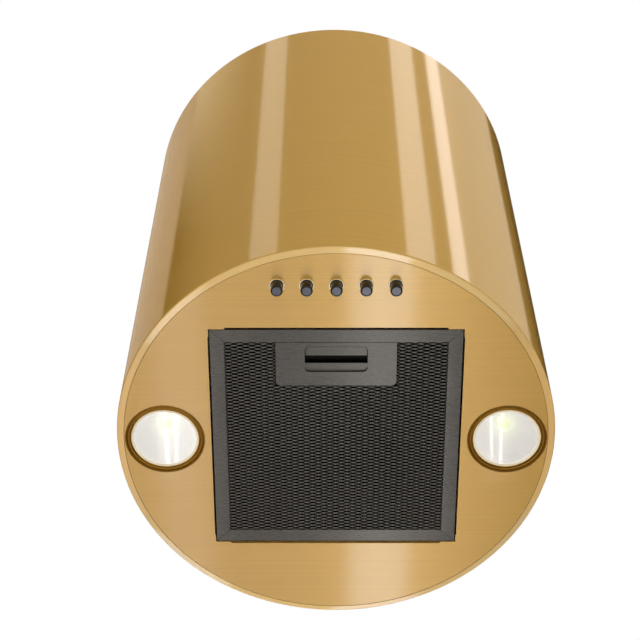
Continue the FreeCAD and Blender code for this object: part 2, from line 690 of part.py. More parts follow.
def lamp_body(x):
    """Turned lamp body: a proud lip, a polished groove and a sleeve that holds the optics."""
    bore = LENS_R + 0.1
    return lathe(
        [
            (LAMP_R, FACE_Z, 0),
            (LAMP_R, FACE_Z - 0.6, 0.35),
            (LAMP_R - 1.1, FACE_Z - 0.6, 0.2),
            (LAMP_R - 2.4, FACE_Z + 1.6, 1.0),
            (LAMP_R - 4.0, FACE_Z + 1.6, 0.6),
            (LAMP_R - 4.9, FACE_Z + 0.9, 0.2),
            (bore, FACE_Z + 1.1, 0),
            (bore, LAMP_TOP_Z, 0),
            (LAMP_R - 4.0, LAMP_TOP_Z, 0),
            (LAMP_R - 4.0, FACE_Z + 8, 0),
            (LAMP_R - 1.0, FACE_Z + 5, 0),
            (LAMP_R - 1.0, FACE_Z, 0),
        ],
        x,
        LAMP_Y,
    )


def lamp_lens(x):
    foot = LENS_FOOT_Z
    return lathe(
        [
            (0, foot, 0),
            (LENS_R - 1.5, foot, 0),
            (LENS_R, foot + 1.0, 0),
            (LENS_R, foot + LENS_H, 0),
            (0, foot + LENS_H, 0),
        ],
        x,
        LAMP_Y,
    )


def lamp_reflector(x):
    """A faceless cup that narrows from the lens to the LED."""
    foot, wall = LENS_FOOT_Z + LENS_H, 0.8
    top = LED_Z
    rim, mouth, throat = LENS_R - 0.1, LENS_R - 1.6, 8.0
    height = top - foot
    belly = [(mouth - (mouth - throat) * s**1.7, foot + height * s) for s in (0, 0.25, 0.5, 0.75, 1)]
    curve = Part.BSplineCurve()
    curve.interpolate([V(r, 0, z) for r, z in belly])
    outer = Part.BSplineCurve()
    outer.interpolate([V(r + wall, 0, z) for r, z in reversed(belly)])
    lip_z = foot + wall
    on_outer = V(belly[0][0] + wall, 0, foot)
    edges = [
        curve.toShape(),
        Part.makeLine(V(throat, 0, top), V(throat + wall, 0, top)),
        outer.toShape(),
        Part.makeLine(on_outer, V(mouth, 0, foot)),
    ]
    cup = Part.Face(Part.Wire(edges)).revolve(V(0, 0, 0), Z_AXIS, 360)
    lip = ring(rim, mouth + 0.3, foot, lip_z)
    cup = cup.fuse(lip)
    cup.translate(V(x, LAMP_Y, 0))
    return cup


def lamp_led(x):
    board = cylinder(14, LED_Z, LED_Z + 1.6, x, LAMP_Y)
    chip = lathe(
        [(0, LED_Z - 1.6, 0), (5.0, LED_Z - 1.6, 1.0), (5.0, LED_Z, 0), (0, LED_Z, 0)], x, LAMP_Y
    )
    return fuse([board, chip])


def lamp_heatsink(x):
    foot = LAMP_TOP_Z
    base = cylinder(LAMP_R - 4.0, foot, foot + 3, x, LAMP_Y)
    fins = []
    for i in range(9):
        offset = (i - 4) * 6.0
        half = math.sqrt((LAMP_R - 5.0) ** 2 - offset**2)
        y = LAMP_Y + offset
        fins.append(box(x - half, x + half, y - 0.7, y + 0.7, foot + 2, foot + 16))
    return fuse([base] + fins)


def lamp_clips():
    """Two spring strips on each lamp that grip the panel's upper face."""
    strip, reach, width = 0.6, 9.0, 8.0
    foot_z, bend_z = PANEL_TOP_Z, PANEL_TOP_Z + 8
    start = LAMP_Y + LAMP_R - 4.0
    x0, x1 = LAMP_X - width / 2, LAMP_X + width / 2
    clip = fuse(
        [
            box(x0, x1, start, start + strip, bend_z, bend_z + 12),
            box(x0, x1, start, start + reach, bend_z, bend_z + strip),
            box(x0, x1, start + reach - strip, start + reach, foot_z, bend_z + strip),
        ]
    )
    pair = [clip, clip.mirror(V(0, LAMP_Y, 0), Y_AXIS)]
    return pair + [mirrored(c) for c in pair]


# ---------------------------------------------------------------- electrics on the lid
def led_driver():
    z = LID_TOP_Z
    case = rounded_box(87, 112, -55, 45, z, z + 22, 2)
    ears = box(93, 106, -62, 52, z, z + 2)
    return fuse([case, ears]).cut([cylinder(1.8, z - 1, z + 3, 99.5, y) for y in (-59, 49)])


def terminal_box():
    """The mains junction box, with a cover and a round cable entry in its top."""
    z = LID_TOP_Z
    case = rounded_box(-45, 45, -120, -87, z, z + 32, 2).cut(box(-42, 42, -117, -90, z + 2, z + 29))
    entry = cylinder(7.5, z + 32, z + 40, CABLE_X, CABLE_Y)
    return case.fuse(entry).cut(cylinder(4.5, z + 28, z + 41, CABLE_X, CABLE_Y))


def motor_capacitor():
    x, z = -100, LID_TOP_Z + 15
    can = Part.makeCylinder(13, 62, V(x, -30, z), Y_AXIS)
    tabs = [box(x + d - 0.4, x + d + 0.4, 32, 40, z - 2.5, z + 2.5) for d in (-5, 5)]
    strap = Part.makeCylinder(14, 10, V(x, -4, z), Y_AXIS)
    strap = strap.cut(Part.makeCylinder(13, 12, V(x, -5, z), Y_AXIS))
    foot = box(x - 5, x + 5, -4, 6, LID_TOP_Z, z - 12.9)
    return [fuse([can] + tabs), fuse([strap, foot])]


# ---------------------------------------------------------------- grease filter
FILTER_TOP_Z = FILTER_Z + FILTER_H
FILTER_FRONT_Y = FILTER_Y - FILTER_L / 2
FILTER_REAR_Y = FILTER_Y + FILTER_L / 2
HANDLE_FRONT_Y = FILTER_FRONT_Y + FRAME_FACE + 0.3
HANDLE_HALF = 52.5
HANDLE_REAR_Y = -57.8
GRIP_HALF = 27.3
GRIP_FRONT_Y, GRIP_REAR_Y = -97.4, -71.7
GRIP_CORNER_R = 4.5
SLOT_FRONT_Y, SLOT_REAR_Y = -88.1, -79.8
LATCH_Z = FILTER_Z + 1.8
LATCH_H = 1.2
TONGUE_Z = FILTER_Z + 4.6  # the latch steps up to its tongues, out of sight behind the frame
TONGUES = (-28, 28)
TONGUE_HALF = 8.5
TONGUE_TIP_Y = FILTER_FRONT_Y - 2.1
STEP_Y = -100.5
LATCH_SPRING_X = 44.4
MESH_H = 0.5


def filter_frame():
    """Four folded channel rails, mitred at the corners, with rear tabs and slots for the latch's tongues."""
    half_w, half_l = FILTER_W / 2, FILTER_L / 2
    inner_w, inner_l = half_w - FRAME_FACE, half_l - FRAME_FACE
    t = FILTER_SHEET
    whole = box(-half_w, half_w, -half_l, half_l, FILTER_Z, FILTER_TOP_Z)
    bore = box(-inner_w, inner_w, -inner_l, inner_l, FILTER_Z - 1, FILTER_TOP_Z + 1)
    channel = box(t - half_w, half_w - t, t - half_l, half_l - t, FILTER_Z + t, FILTER_TOP_Z - t)
    body = whole.cut([bore, channel])
    seam = 0.12
    low, high = FILTER_Z - 1, FILTER_TOP_Z + 1
    side = plate(
        [
            (half_w + 1, -half_l - 1 + seam),
            (half_w + 1, half_l + 1 - seam),
            (inner_w - 20, inner_l - 20 - seam),
            (inner_w - 20, -inner_l + 20 + seam),
        ],
        low,
        high,
    )
    rails = [body.common(side)]
    rails.append(mirrored(rails[0]))
    end = plate(
        [
            (-half_w - 1 + seam, -half_l - 1),
            (half_w + 1 - seam, -half_l - 1),
            (inner_w - 20 - seam, -inner_l + 20),
            (-inner_w + 20 + seam, -inner_l + 20),
        ],
        low,
        high,
    )
    front = body.common(end)
    rear = front.mirror(V(0, 0, 0), Y_AXIS)
    for x in TONGUES:
        half, top = TONGUE_HALF + 0.5, TONGUE_Z + LATCH_H + 0.3
        front = front.cut(box(x - half, x + half, -half_l - 1, -inner_l + 1, TONGUE_Z - 0.3, top))
    tab_z = FILTER_Z + 4.1
    tabs = [box(x * 2 - 7, x * 2 + 7, half_l - t, half_l + 6.5, tab_z, tab_z + 1.2) for x in TONGUES]
    rails += [front, fuse([rear] + tabs)]
    for rail in rails:
        rail.translate(V(0, FILTER_Y, 0))
    return rails


def handle_cut(z0, z1, gap):
    """The space that the handle moulding and its latch take out of the filter's mesh."""
    half = HANDLE_HALF + gap
    return box(-half, half, HANDLE_FRONT_Y - 20, HANDLE_REAR_Y + gap, z0, z1)


def filter_mesh():
    """The lower expanded sheet, held behind the frame's visible face."""
    inset = FILTER_SHEET + 0.2
    half_w, half_l = FILTER_W / 2 - inset, FILTER_L / 2 - inset
    z = FILTER_Z + FILTER_SHEET
    sheet = box(-half_w, half_w, FILTER_Y - half_l, FILTER_Y + half_l, z, z + MESH_H)
    return sheet.cut(handle_cut(z - 1, z + 2, -0.5))


def filter_core():
    """Three more layers of expanded aluminium above the visible one."""
    inset = FILTER_SHEET + 0.2
    half_w, half_l = FILTER_W / 2 - inset, FILTER_L / 2 - inset
    layers = []
    for rise in (2.2, 4.4, 6.6):
        z = FILTER_Z + FILTER_SHEET + rise
        sheet = box(-half_w, half_w, FILTER_Y - half_l, FILTER_Y + half_l, z, z + MESH_H)
        layers.append(sheet.cut(handle_cut(z - 1, z + 1, 0.5)))
    return layers


def grip_groove(z0, z1):
    """The narrow dark slit just inside the finger recess's outline."""
    width, radius = 0.8, GRIP_CORNER_R
    outer = rounded_box(-GRIP_HALF, GRIP_HALF, GRIP_FRONT_Y, GRIP_REAR_Y, z0, z1, radius)
    half, front, rear = GRIP_HALF - width, GRIP_FRONT_Y + width, GRIP_REAR_Y - width
    return outer.cut(rounded_box(-half, half, front, rear, z0 - 1, z1 + 1, radius - width))


def filter_handle():
    """The moulded finger pull: a face plate with a slot, and a back that guides the sliding latch."""
    t = FILTER_SHEET
    front, rear = HANDLE_FRONT_Y, HANDLE_REAR_Y
    face = box(-HANDLE_HALF, HANDLE_HALF, front, rear, FILTER_Z, FILTER_Z + t)
    corners = [e for e in face.Edges if e.Length < 1 and e.CenterOfMass.y > rear - 0.1]
    face = face.makeFillet(4.0, corners)
    low, high = FILTER_Z - 1, FILTER_Z + 3
    face = face.cut(rounded_box(-GRIP_HALF, GRIP_HALF, GRIP_FRONT_Y, GRIP_REAR_Y, low, high, GRIP_CORNER_R))
    seat_z, back_z = FILTER_Z + t, FILTER_TOP_Z - 0.9
    seat_top = seat_z + 0.8
    keeper_z = LATCH_Z + LATCH_H + 0.2
    seat = box(-GRIP_HALF - 1, GRIP_HALF + 1, GRIP_FRONT_Y - 1, SLOT_FRONT_Y, seat_z, seat_top)
    pieces = [
        face,
        seat.cut(grip_groove(seat_z - 1, seat_top + 1)),
        box(-45, 45, front - 4, front + 1, seat_z, seat_top),
        box(2 - HANDLE_HALF, HANDLE_HALF - 2, front + 4, rear - 1.5, back_z, back_z + 0.8),
        box(-12, 12, SLOT_FRONT_Y - 2, SLOT_FRONT_Y, seat_z, back_z),
    ]
    right = [
        box(HANDLE_HALF - 5, HANDLE_HALF - 2, front + 4, rear - 1.5, seat_z, back_z),
        box(31, 41, -76, rear - 3, seat_z, seat_top),
        box(32, 36, -76, -68, keeper_z, back_z),
        box(42, HANDLE_HALF - 4, -70, -69, seat_z, back_z),
    ]
    return fuse(pieces + right + [mirrored(s) for s in right])


def filter_latch():
    """A sheet slider: its rear bar is the finger grip, its two tongues reach out through the front rail."""
    z0, z1 = LATCH_Z, LATCH_Z + LATCH_H
    top = TONGUE_Z + LATCH_H
    pieces = [
        box(-37, 37, SLOT_REAR_Y, SLOT_REAR_Y + 12, z0, z1),
        box(-26.5, 26.5, SLOT_REAR_Y, SLOT_REAR_Y + 1.2, z1, z1 + 2.5),
        box(-42, 42, STEP_Y, STEP_Y + LATCH_H, z0, top),
    ]
    right = [
        box(30.5, 42, STEP_Y, SLOT_REAR_Y + 1, z0, z1),
        box(41, 46.5, -93, -92, z0, top),
    ]
    pieces += right + [mirrored(s) for s in right]
    for x in TONGUES:
        half = TONGUE_HALF
        pieces.append(box(x - half, x + half, TONGUE_TIP_Y, STEP_Y + 1, TONGUE_Z, top))
    return fuse(pieces)


def latch_springs():
    """Two springs that push the latch forward, off the moulding's rear stops."""
    spring = coil(1.6, 0.5, 8, V(LATCH_SPRING_X, -91.6, LATCH_Z + 2.4), 21.2, Y_AXIS)
    return [spring, mirrored(spring)]


def filter_catches():
    """Two spring leaves on the chassis box whose lips hold the latch's tongues."""
    leaves = []
    wall_y = BOX_FRONT_Y + BOX_SHEET
    lip_z = TONGUE_Z - 0.8
    for x in TONGUES:
        stem = box(x - 7, x + 7, wall_y, wall_y + 0.6, lip_z, PANEL_TOP_Z + 26)
        lip = box(x - 7, x + 7, wall_y, FILTER_FRONT_Y - 0.8, lip_z, lip_z + 0.5)
        leaves.append(fuse([stem, lip]))
    return leaves


# ---------------------------------------------------------------- write every sub-part
def main():
    save("outer_tube", outer_tube())
    save("bottom_panel", bottom_panel())
    save("ceiling_ring", ceiling_ring())
    save("tube_screws", *tube_screws())
    save("chassis_box", chassis_box())
    save("box_lid", box_lid())
    save("lid_screws", *lid_screws())
    save("hanger_rails", *hanger_rails())
    save("rail_bolts", *rail_bolts())
    save("panel_nuts", *panel_nuts())
    for side in SIDES:
        save("fan_housing_" + side, fan_housing(side))
        save("damper_flap_" + side, damper_flap(side))
    save("blower_screws", *blower_screws())
    save("impeller", impeller())
    save("motor_shaft", rod(SHAFT_R, -10, 84))
    save("motor_rotor", sleeve(23.6, SHAFT_R, 28, 62))
    save("motor_can", motor_can())
    save("motor_end_cap", motor_end_cap())
    save("stator_core", sleeve(MOTOR_R - 1.5, 24.2, 28, 62))
    save("stator_windings", sleeve(36, 26, 18.5, 27.5), sleeve(36, 26, 62.5, 71.5))
    save("shaft_bushes", *shaft_bushes())
    save("motor_bracket", motor_bracket())
    save("motor_pads", *motor_pads())
    save("outlet_collar", outlet_collar())
    save("damper_pin", damper_pin())
    save("switch_block", switch_block())
    for i, x in enumerate(BUTTON_XS, 1):
        save("push_button_" + str(i), push_button(x))
        save("button_spring_" + str(i), button_spring(x))
    save("button_bezels", *button_bezels())
    save("control_board", control_board())
    for side, s in SIDES.items():
        x = s * LAMP_X
        save("lamp_body_" + side, lamp_body(x))
        save("lamp_lens_" + side, lamp_lens(x))
        save("lamp_reflector_" + side, lamp_reflector(x))
    save("lamp_leds", *[lamp_led(s * LAMP_X) for s in SIDES.values()])
    save("lamp_heatsinks", *[lamp_heatsink(s * LAMP_X) for s in SIDES.values()])
    save("lamp_clips", *lamp_clips())
    save("led_driver", led_driver())
    save("terminal_box", terminal_box())
    save("motor_capacitor", *motor_capacitor())
    save("filter_frame", *filter_frame())
    save("filter_mesh", filter_mesh())
    save("filter_core", *filter_core())
    save("filter_handle", filter_handle())
    save("filter_latch", filter_latch())
    save("latch_springs", *latch_springs())
    save("filter_catches", *filter_catches())


main()
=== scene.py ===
import json
import math

import bmesh
import bpy
from mathutils import Matrix, Vector


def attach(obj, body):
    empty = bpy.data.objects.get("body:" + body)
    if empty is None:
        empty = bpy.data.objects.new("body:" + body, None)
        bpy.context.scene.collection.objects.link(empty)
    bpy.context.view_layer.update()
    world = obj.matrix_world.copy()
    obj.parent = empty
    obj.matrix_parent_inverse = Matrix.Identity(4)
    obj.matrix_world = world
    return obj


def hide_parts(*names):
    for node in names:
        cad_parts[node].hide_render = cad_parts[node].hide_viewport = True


# The looks of the island range hood. Shapes are in millimetres in the row frame and become metres
# when a mesh is made: +Z up, -Y the front, the origin on the ceiling.

MM = 0.001
FACE_Z = -505.0  # the panel's lower face
PANEL_THICK = 1.2
TUBE_R = 195.0
TUBE_WALL = 1.0
RIM_R = 188.7  # the rim's inner edge
RIM_RISE = 1.5
LAMP_X, LAMP_Y = 152.2, -1.5
BUTTON_Y, BUTTON_PITCH = -157.8, 25.2
BUTTON_XS = [BUTTON_PITCH * k for k in range(-2, 3)]
FILTER_Y = -1.2
FILTER_Z = FACE_Z + 0.4
SHEET_HALF_X, SHEET_HALF_Y = 108.3, 111.9
HANDLE_HALF, HANDLE_REAR_Y = 52.5, -57.8
ANODISED = (0.138, 0.121, 0.102)
ROOM = (0.30, 0.27, 0.20)  # the unlit part of the studio

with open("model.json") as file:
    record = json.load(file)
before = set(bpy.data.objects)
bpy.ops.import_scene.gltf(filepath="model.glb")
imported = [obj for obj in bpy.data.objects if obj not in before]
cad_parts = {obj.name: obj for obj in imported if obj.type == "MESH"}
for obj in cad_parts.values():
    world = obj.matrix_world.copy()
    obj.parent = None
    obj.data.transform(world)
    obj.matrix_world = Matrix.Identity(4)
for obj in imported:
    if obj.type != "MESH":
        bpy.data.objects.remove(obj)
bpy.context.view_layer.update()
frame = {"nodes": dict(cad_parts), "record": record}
nodes = frame["nodes"]


# ---------------------------------------------------------------- materials
class Paint:
    """A Principled material with helpers that add procedural detail in object space, in metres."""

    def __init__(self, name, colour, rough, metal=0.0, **sockets):
        self.material = bpy.data.materials.new(name)
        self.material.use_nodes = True
        self.tree = self.material.node_tree
        self.shader = self.tree.nodes["Principled BSDF"]
        self.colour, self.rough = colour, rough
        self.shader.inputs["Base Color"].default_value = (*colour, 1)
        self.shader.inputs["Roughness"].default_value = rough
        self.shader.inputs["Metallic"].default_value = metal
        for socket, value in sockets.items():
            self.shader.inputs[socket.replace("_", " ")].default_value = value
        self.height = None

    def node(self, kind, **values):
        """Adds a shader node. Each value is one of its properties, or else one of its inputs."""
        made = self.tree.nodes.new("ShaderNode" + kind)
        for key, value in values.items():
            if hasattr(made, key):
                setattr(made, key, value)
            else:
                made.inputs[key.replace("_", " ")].default_value = value
        return made

    def link(self, source, target):
        """Joins an output to an input."""
        self.tree.links.new(source, target)

    def coords(self, stretch):
        """Object coordinates, multiplied by stretch."""
        place = self.node("TexCoord")
        scale = self.node("Mapping")
        scale.inputs["Scale"].default_value = stretch
        self.link(place.outputs["Object"], scale.inputs["Vector"])
        return scale.outputs["Vector"]

    def noise(self, stretch, detail=2.0, roughness=0.5):
        """Cloudy noise with stretch features to the metre."""
        made = self.node("TexNoise", Scale=1.0, Detail=detail, Roughness=roughness)
        self.link(self.coords(stretch), made.inputs["Vector"])
        return made.outputs["Fac"]

    def cells(self, stretch, feature="F1", output="Color"):
        """A Voronoi pattern with stretch cells to the metre."""
        made = self.node("TexVoronoi", Scale=1.0, feature=feature)
        self.link(self.coords(stretch), made.inputs["Vector"])
        return made.outputs[output]

    def spread(self, source, low, high, start=0.3, end=0.7):
        """Source from start to end becomes low to high."""
        made = self.node("MapRange")
        for socket, value in zip(("From Min", "From Max", "To Min", "To Max"), (start, end, low, high)):
            made.inputs[socket].default_value = value
        self.link(source, made.inputs["Value"])
        return made.outputs["Result"]

    def tint(self, source, darker, lighter, start=0.3, end=0.7):
        """Base colour between two shades, mixed over whatever already drives it."""
        mix = self.node("Mix", data_type="RGBA", blend_type="MULTIPLY")
        mix.inputs["Factor"].default_value = 1.0
        ramp = self.node("ValToRGB")
        ramp.color_ramp.elements[0].position = start
        ramp.color_ramp.elements[1].position = end
        ramp.color_ramp.elements[0].color = (*darker, 1)
        ramp.color_ramp.elements[1].color = (*lighter, 1)
        self.link(source, ramp.inputs["Fac"])
        base = self.shader.inputs["Base Color"]
        if base.is_linked:
            self.link(base.links[0].from_socket, mix.inputs["A"])
        else:
            mix.inputs["A"].default_value = base.default_value[:]
        self.link(ramp.outputs["Color"], mix.inputs["B"])
        self.link(mix.outputs["Result"], base)
        return self

    def vary_rough(self, source, swing, start=0.3, end=0.7):
        """Roughness up to swing either side of its own value, added to whatever already drives it."""
        rough = self.shader.inputs["Roughness"]
        if rough.is_linked:
            add = self.node("Math", operation="ADD")
            self.link(rough.links[0].from_socket, add.inputs[0])
            self.link(self.spread(source, -swing, swing, start, end), add.inputs[1])
            self.link(add.outputs[0], rough)
        else:
            low, high = max(0.02, self.rough - swing), min(1.0, self.rough + swing)
            self.link(self.spread(source, low, high, start, end), rough)
        return self

    def bump(self, source, depth):
        """depth is the height of the relief, in metres."""
        made = self.node("Bump", Strength=1.0, Distance=depth)
        self.link(source, made.inputs["Height"])
        if self.height:
            self.link(self.height, made.inputs["Normal"])
        self.height = made.outputs["Normal"]
        self.link(self.height, self.shader.inputs["Normal"])
        return self

    def worn_edges(self, radius, shade):
        """Lighter, smoother metal or plastic along convex edges."""
        rough_drop = 0.08
        rounded = self.node("Bevel", samples=4, Radius=radius)
        flat = self.node("NewGeometry")
        dot = self.node("VectorMath", operation="DOT_PRODUCT")
        self.link(rounded.outputs["Normal"], dot.inputs[0])
        self.link(flat.outputs["Normal"], dot.inputs[1])
        mask = self.spread(dot.outputs["Value"], 1.0, 0.0, 0.75, 0.98)
        patchy = self.node("Math", operation="MULTIPLY")
        self.link(mask, patchy.inputs[0])
        self.link(self.spread(self.noise((160, 160, 160)), 0.2, 1.0), patchy.inputs[1])
        self.tint(patchy.outputs[0], (1, 1, 1), shade, 0.1, 0.9)
        rough = self.shader.inputs["Roughness"]
        if rough.is_linked:
            take = self.node("Math", operation="SUBTRACT")
            self.link(rough.links[0].from_socket, take.inputs[0])
            self.link(self.spread(patchy.outputs[0], 0.0, rough_drop, 0.0, 1.0), take.inputs[1])
            self.link(take.outputs[0], rough)
        return self

    def tangent(self, axis, turn):
        """Sets the axis that a brushed surface's highlights follow."""
        made = self.node("Tangent", direction_type="RADIAL", axis=axis)
        self.link(made.outputs["Tangent"], self.shader.inputs["Tangent"])
        self.shader.inputs["Anisotropic Rotation"].default_value = turn
        return self


def brushed_brass(name, colour, stretch, axis, turn):
    """Brass-toned brushed sheet under clear lacquer. stretch sets which way the grain runs."""
    lacquer = {"Coat_Weight": 1.0, "Coat_Roughness": 0.08, "Coat_IOR": 1.8}
    paint = Paint(name, colour, 0.42, 1.0, Anisotropic=1.0, **lacquer)
    fine = paint.noise(stretch, 3.0, 0.65)
    broad = paint.noise((2.5, 2.5, 2.5), 2.0)
    paint.tint(fine, (0.90, 0.89, 0.86), (1.05, 1.05, 1.07), 0.25, 0.75)
    paint.tint(broad, (0.97, 0.965, 0.95), (1.0, 1.0, 1.0))
    paint.vary_rough(fine, 0.04, 0.25, 0.75).vary_rough(broad, 0.02)
    paint.bump(fine, 0.000004)
    return paint.tangent(axis, turn)


def sheet_metal(name, colour, rough=0.42, spangle=0.06):
    """Galvanised or plated sheet with a faint crystal pattern and handling marks."""
    paint = Paint(name, colour, rough, 1.0)
    crystals = paint.cells((140, 140, 140))
    split = paint.node("SeparateColor")
    paint.link(crystals, split.inputs["Color"])
    facet = split.outputs["Red"]
    darkest = (1 - spangle * 2,) * 3
    paint.tint(facet, darkest, (1.05, 1.05, 1.05), 0.1, 0.9)
    paint.vary_rough(facet, 0.08, 0.1, 0.9).vary_rough(paint.noise((12, 12, 40), 4.0), 0.06)
    paint.bump(paint.noise((700, 700, 700)), 0.000006)
    return paint.worn_edges(0.0006, (1.15, 1.15, 1.15))


def moulded(name, colour, rough):
    """Injection-moulded plastic with a fine spark-eroded texture."""
    pores = 2200
    paint = Paint(name, colour, rough)
    grain = paint.noise((pores, pores, pores), 2.0, 0.6)
    marks = paint.noise((30, 30, 30), 3.0)
    paint.tint(grain, (0.90, 0.90, 0.90), (1.08, 1.08, 1.08))
    paint.tint(marks, (0.94, 0.94, 0.94), (1.03, 1.03, 1.03))
    paint.vary_rough(marks, 0.07).bump(grain, 0.00001)
    return paint.worn_edges(0.0005, (1.3, 1.3, 1.3))


def turned_metal(name, colour, rough, axis, lines=(60, 60, 2600)):
    """Machined or drawn metal with fine marks round its axis."""
    paint = Paint(name, colour, rough, 1.0, Anisotropic=0.5)
    fine = paint.noise(lines, 2.0, 0.6)
    paint.tint(fine, (0.90, 0.90, 0.90), (1.06, 1.06, 1.06))
    paint.vary_rough(fine, 0.05).bump(fine, 0.000003)
    return paint.tangent(axis, 0.25)


def anodised(name, colour, rough=0.28):
    """Dark anodised aluminium, faintly brushed along X, with a soft bloom."""
    paint = Paint(name, colour, rough, 0.85, Anisotropic=1.0)
    fine = paint.noise((60, 1800, 900), 3.0, 0.6)
    bloom = paint.noise((18, 18, 18), 3.0)
    paint.tint(fine, (0.90, 0.90, 0.90), (1.08, 1.08, 1.08))
    paint.tint(bloom, (0.93, 0.93, 0.93), (1.05, 1.05, 1.05))
    paint.vary_rough(fine, 0.04).vary_rough(bloom, 0.02).bump(fine, 0.000004)
    return paint.tangent("X", 0.0).worn_edges(0.0004, (1.5, 1.48, 1.45))


def height(paint, start, end):
    """A value that goes from 0 to 1 between two heights above the panel's face."""
    place = paint.node("TexCoord")
    split = paint.node("SeparateXYZ")
    paint.link(place.outputs["Object"], split.inputs["Vector"])
    return paint.spread(split.outputs["Z"], 0.0, 1.0, (FACE_Z + start) * MM, (FACE_Z + end) * MM)


def lit_by_height(paint, near, far, start, end):
    """Glow whose colour runs from near to far as height above the panel's face goes from start to end."""
    rise = height(paint, start, end)
    ramp = paint.node("ValToRGB")
    ramp.color_ramp.elements[0].color = (*near, 1)
    ramp.color_ramp.elements[1].color = (*far, 1)
    paint.link(rise, ramp.inputs["Fac"])
    paint.link(ramp.outputs["Color"], paint.shader.inputs["Emission Color"])
    paint.shader.inputs["Emission Strength"].default_value = 1.0
    return rise


def shaded_finger_pull():
    """The filter's handle and latch: anodised outside, with painted shade on the cut edges and deep inside.
    """
    paint = anodised("shaded_finger_pull", ANODISED)
    split = paint.node("SeparateXYZ")
    paint.link(paint.node("TexCoord").outputs["Normal"], split.inputs["Vector"])
    # Faces that stand upright, the walls of the cut-outs, get painted shade near black, so the slit round
    # the pull reads dark.
    upright = paint.node("Math", operation="ABSOLUTE")
    paint.link(split.outputs["Z"], upright.inputs[0])
    paint.tint(upright.outputs["Value"], (0.08, 0.08, 0.08), (1, 1, 1), 0.3, 0.8)
    # Higher than 3.5 to 3.8 mm over the panel's face, deep in the recess, painted shade turns it near
    # black.
    return paint.tint(height(paint, 3.5, 3.8), (1, 1, 1), (0.09, 0.09, 0.085))


def clear_glass():
    """The lamps' lens: glass with a polished face and faint smudges."""
    polish = {"Coat_Weight": 1.0, "Coat_Roughness": 0.02, "Coat_IOR": 1.6}
    paint = Paint("lens_glass", (0.97, 0.98, 0.98), 0.04, 0.0, IOR=1.5, Transmission_Weight=1.0, **polish)
    paint.vary_rough(paint.noise((90, 90, 90), 4.0), 0.02)
    paint.bump(paint.noise((260, 260, 260)), 0.0000003)
    return paint


def satin_white():
    """The reflector's lacquered cup, with a faint orange peel. Its emission is painted light: a pale glow
    that turns yellower towards the chip at its top.
    """
    paint = Paint("reflector_white", (0.78, 0.755, 0.71), 0.28)
    peel = paint.noise((900, 900, 900), 2.0)
    paint.tint(paint.noise((60, 60, 60)), (0.96, 0.96, 0.96), (1.0, 1.0, 1.0))
    # Painted light: the cup glows, paler at its mouth and yellower near the chip.
    lit_by_height(paint, (0.39, 0.365, 0.345), (0.48, 0.48, 0.36), 20.5, 26.0)
    return paint.vary_rough(peel, 0.05).bump(peel, 0.000012)


def led_board():
    """White solder mask with the yellow phosphor of the chip in its middle, below the board. Board and chip
    both carry painted light, a glow that lifts them out of the shade in the cup's throat.
    """
    paint = Paint("led_board", (0.85, 0.85, 0.82), 0.45)
    # Painted light: the board and the chip glow, the chip a little brighter, where they would sit in shade.
    board = lit_by_height(paint, (0.56, 0.59, 0.36), (0.50, 0.52, 0.36), 25.9, 26.0)
    paint.tint(board, (1.0, 0.98, 0.62), (1, 1, 1), 0.2, 0.8)
    grain = paint.noise((1500, 1500, 1500))
    return paint.tint(grain, (0.95, 0.95, 0.95), (1.0, 1.0, 1.0)).bump(grain, 0.00001)


def circuit_board():
    """Green lacquer over copper tracks, as blocks and lines."""
    paint = Paint("board_green", (0.03, 0.16, 0.08), 0.35)
    tracks = paint.cells((400, 400, 60), "DISTANCE_TO_EDGE", "Distance")
    paint.tint(tracks, (1.9, 1.6, 1.3), (1.0, 1.0, 1.0), 0.02, 0.05)
    return paint.bump(tracks, 0.00002).vary_rough(paint.noise((300, 300, 300)), 0.08)


def copper_winding():
    """Wound enamelled wire: ridges round the ring."""
    paint = Paint("winding", (0.60, 0.24, 0.10), 0.3, 0.9)
    wires = paint.node("TexWave", wave_type="BANDS", bands_direction="X", Scale=330.0, Distortion=1.5)
    paint.link(paint.coords((1, 1, 1)), wires.inputs["Vector"])
    paint.tint(wires.outputs["Fac"], (0.55, 0.5, 0.5), (1.1, 1.1, 1.1), 0.1, 0.8)
    return paint.bump(wires.outputs["Fac"], 0.0002).vary_rough(paint.noise((800, 800, 800)), 0.08)


def soft_rubber():
    """Black rubber with a grey bloom."""
    paint = Paint("rubber_black", (0.02, 0.02, 0.02), 0.75)
    bloom = paint.noise((500, 500, 500), 3.0)
    paint.tint(bloom, (0.8, 0.8, 0.8), (1.6, 1.6, 1.6))
    return paint.bump(bloom, 0.00002).vary_rough(bloom, 0.08)


def button_chrome():
    """The buttons' dark chromed sides."""
    paint = Paint("button_chrome", (0.035, 0.033, 0.031), 0.16, 0.9)
    fine = paint.noise((1800, 1800, 200))
    paint.tint(fine, (0.85, 0.85, 0.85), (1.1, 1.1, 1.1)).vary_rough(fine, 0.05)
    return paint.bump(fine, 0.000003).worn_edges(0.0004, (1.5, 1.5, 1.5))


def button_face():
    """The buttons' satin end faces."""
    paint = Paint("button_face", (0.15, 0.142, 0.145), 0.2, 0.85)
    satin = paint.noise((1500, 1500, 1500))
    paint.tint(satin, (0.92, 0.92, 0.92), (1.06, 1.06, 1.06)).vary_rough(satin, 0.06)
    return paint.bump(satin, 0.000006)


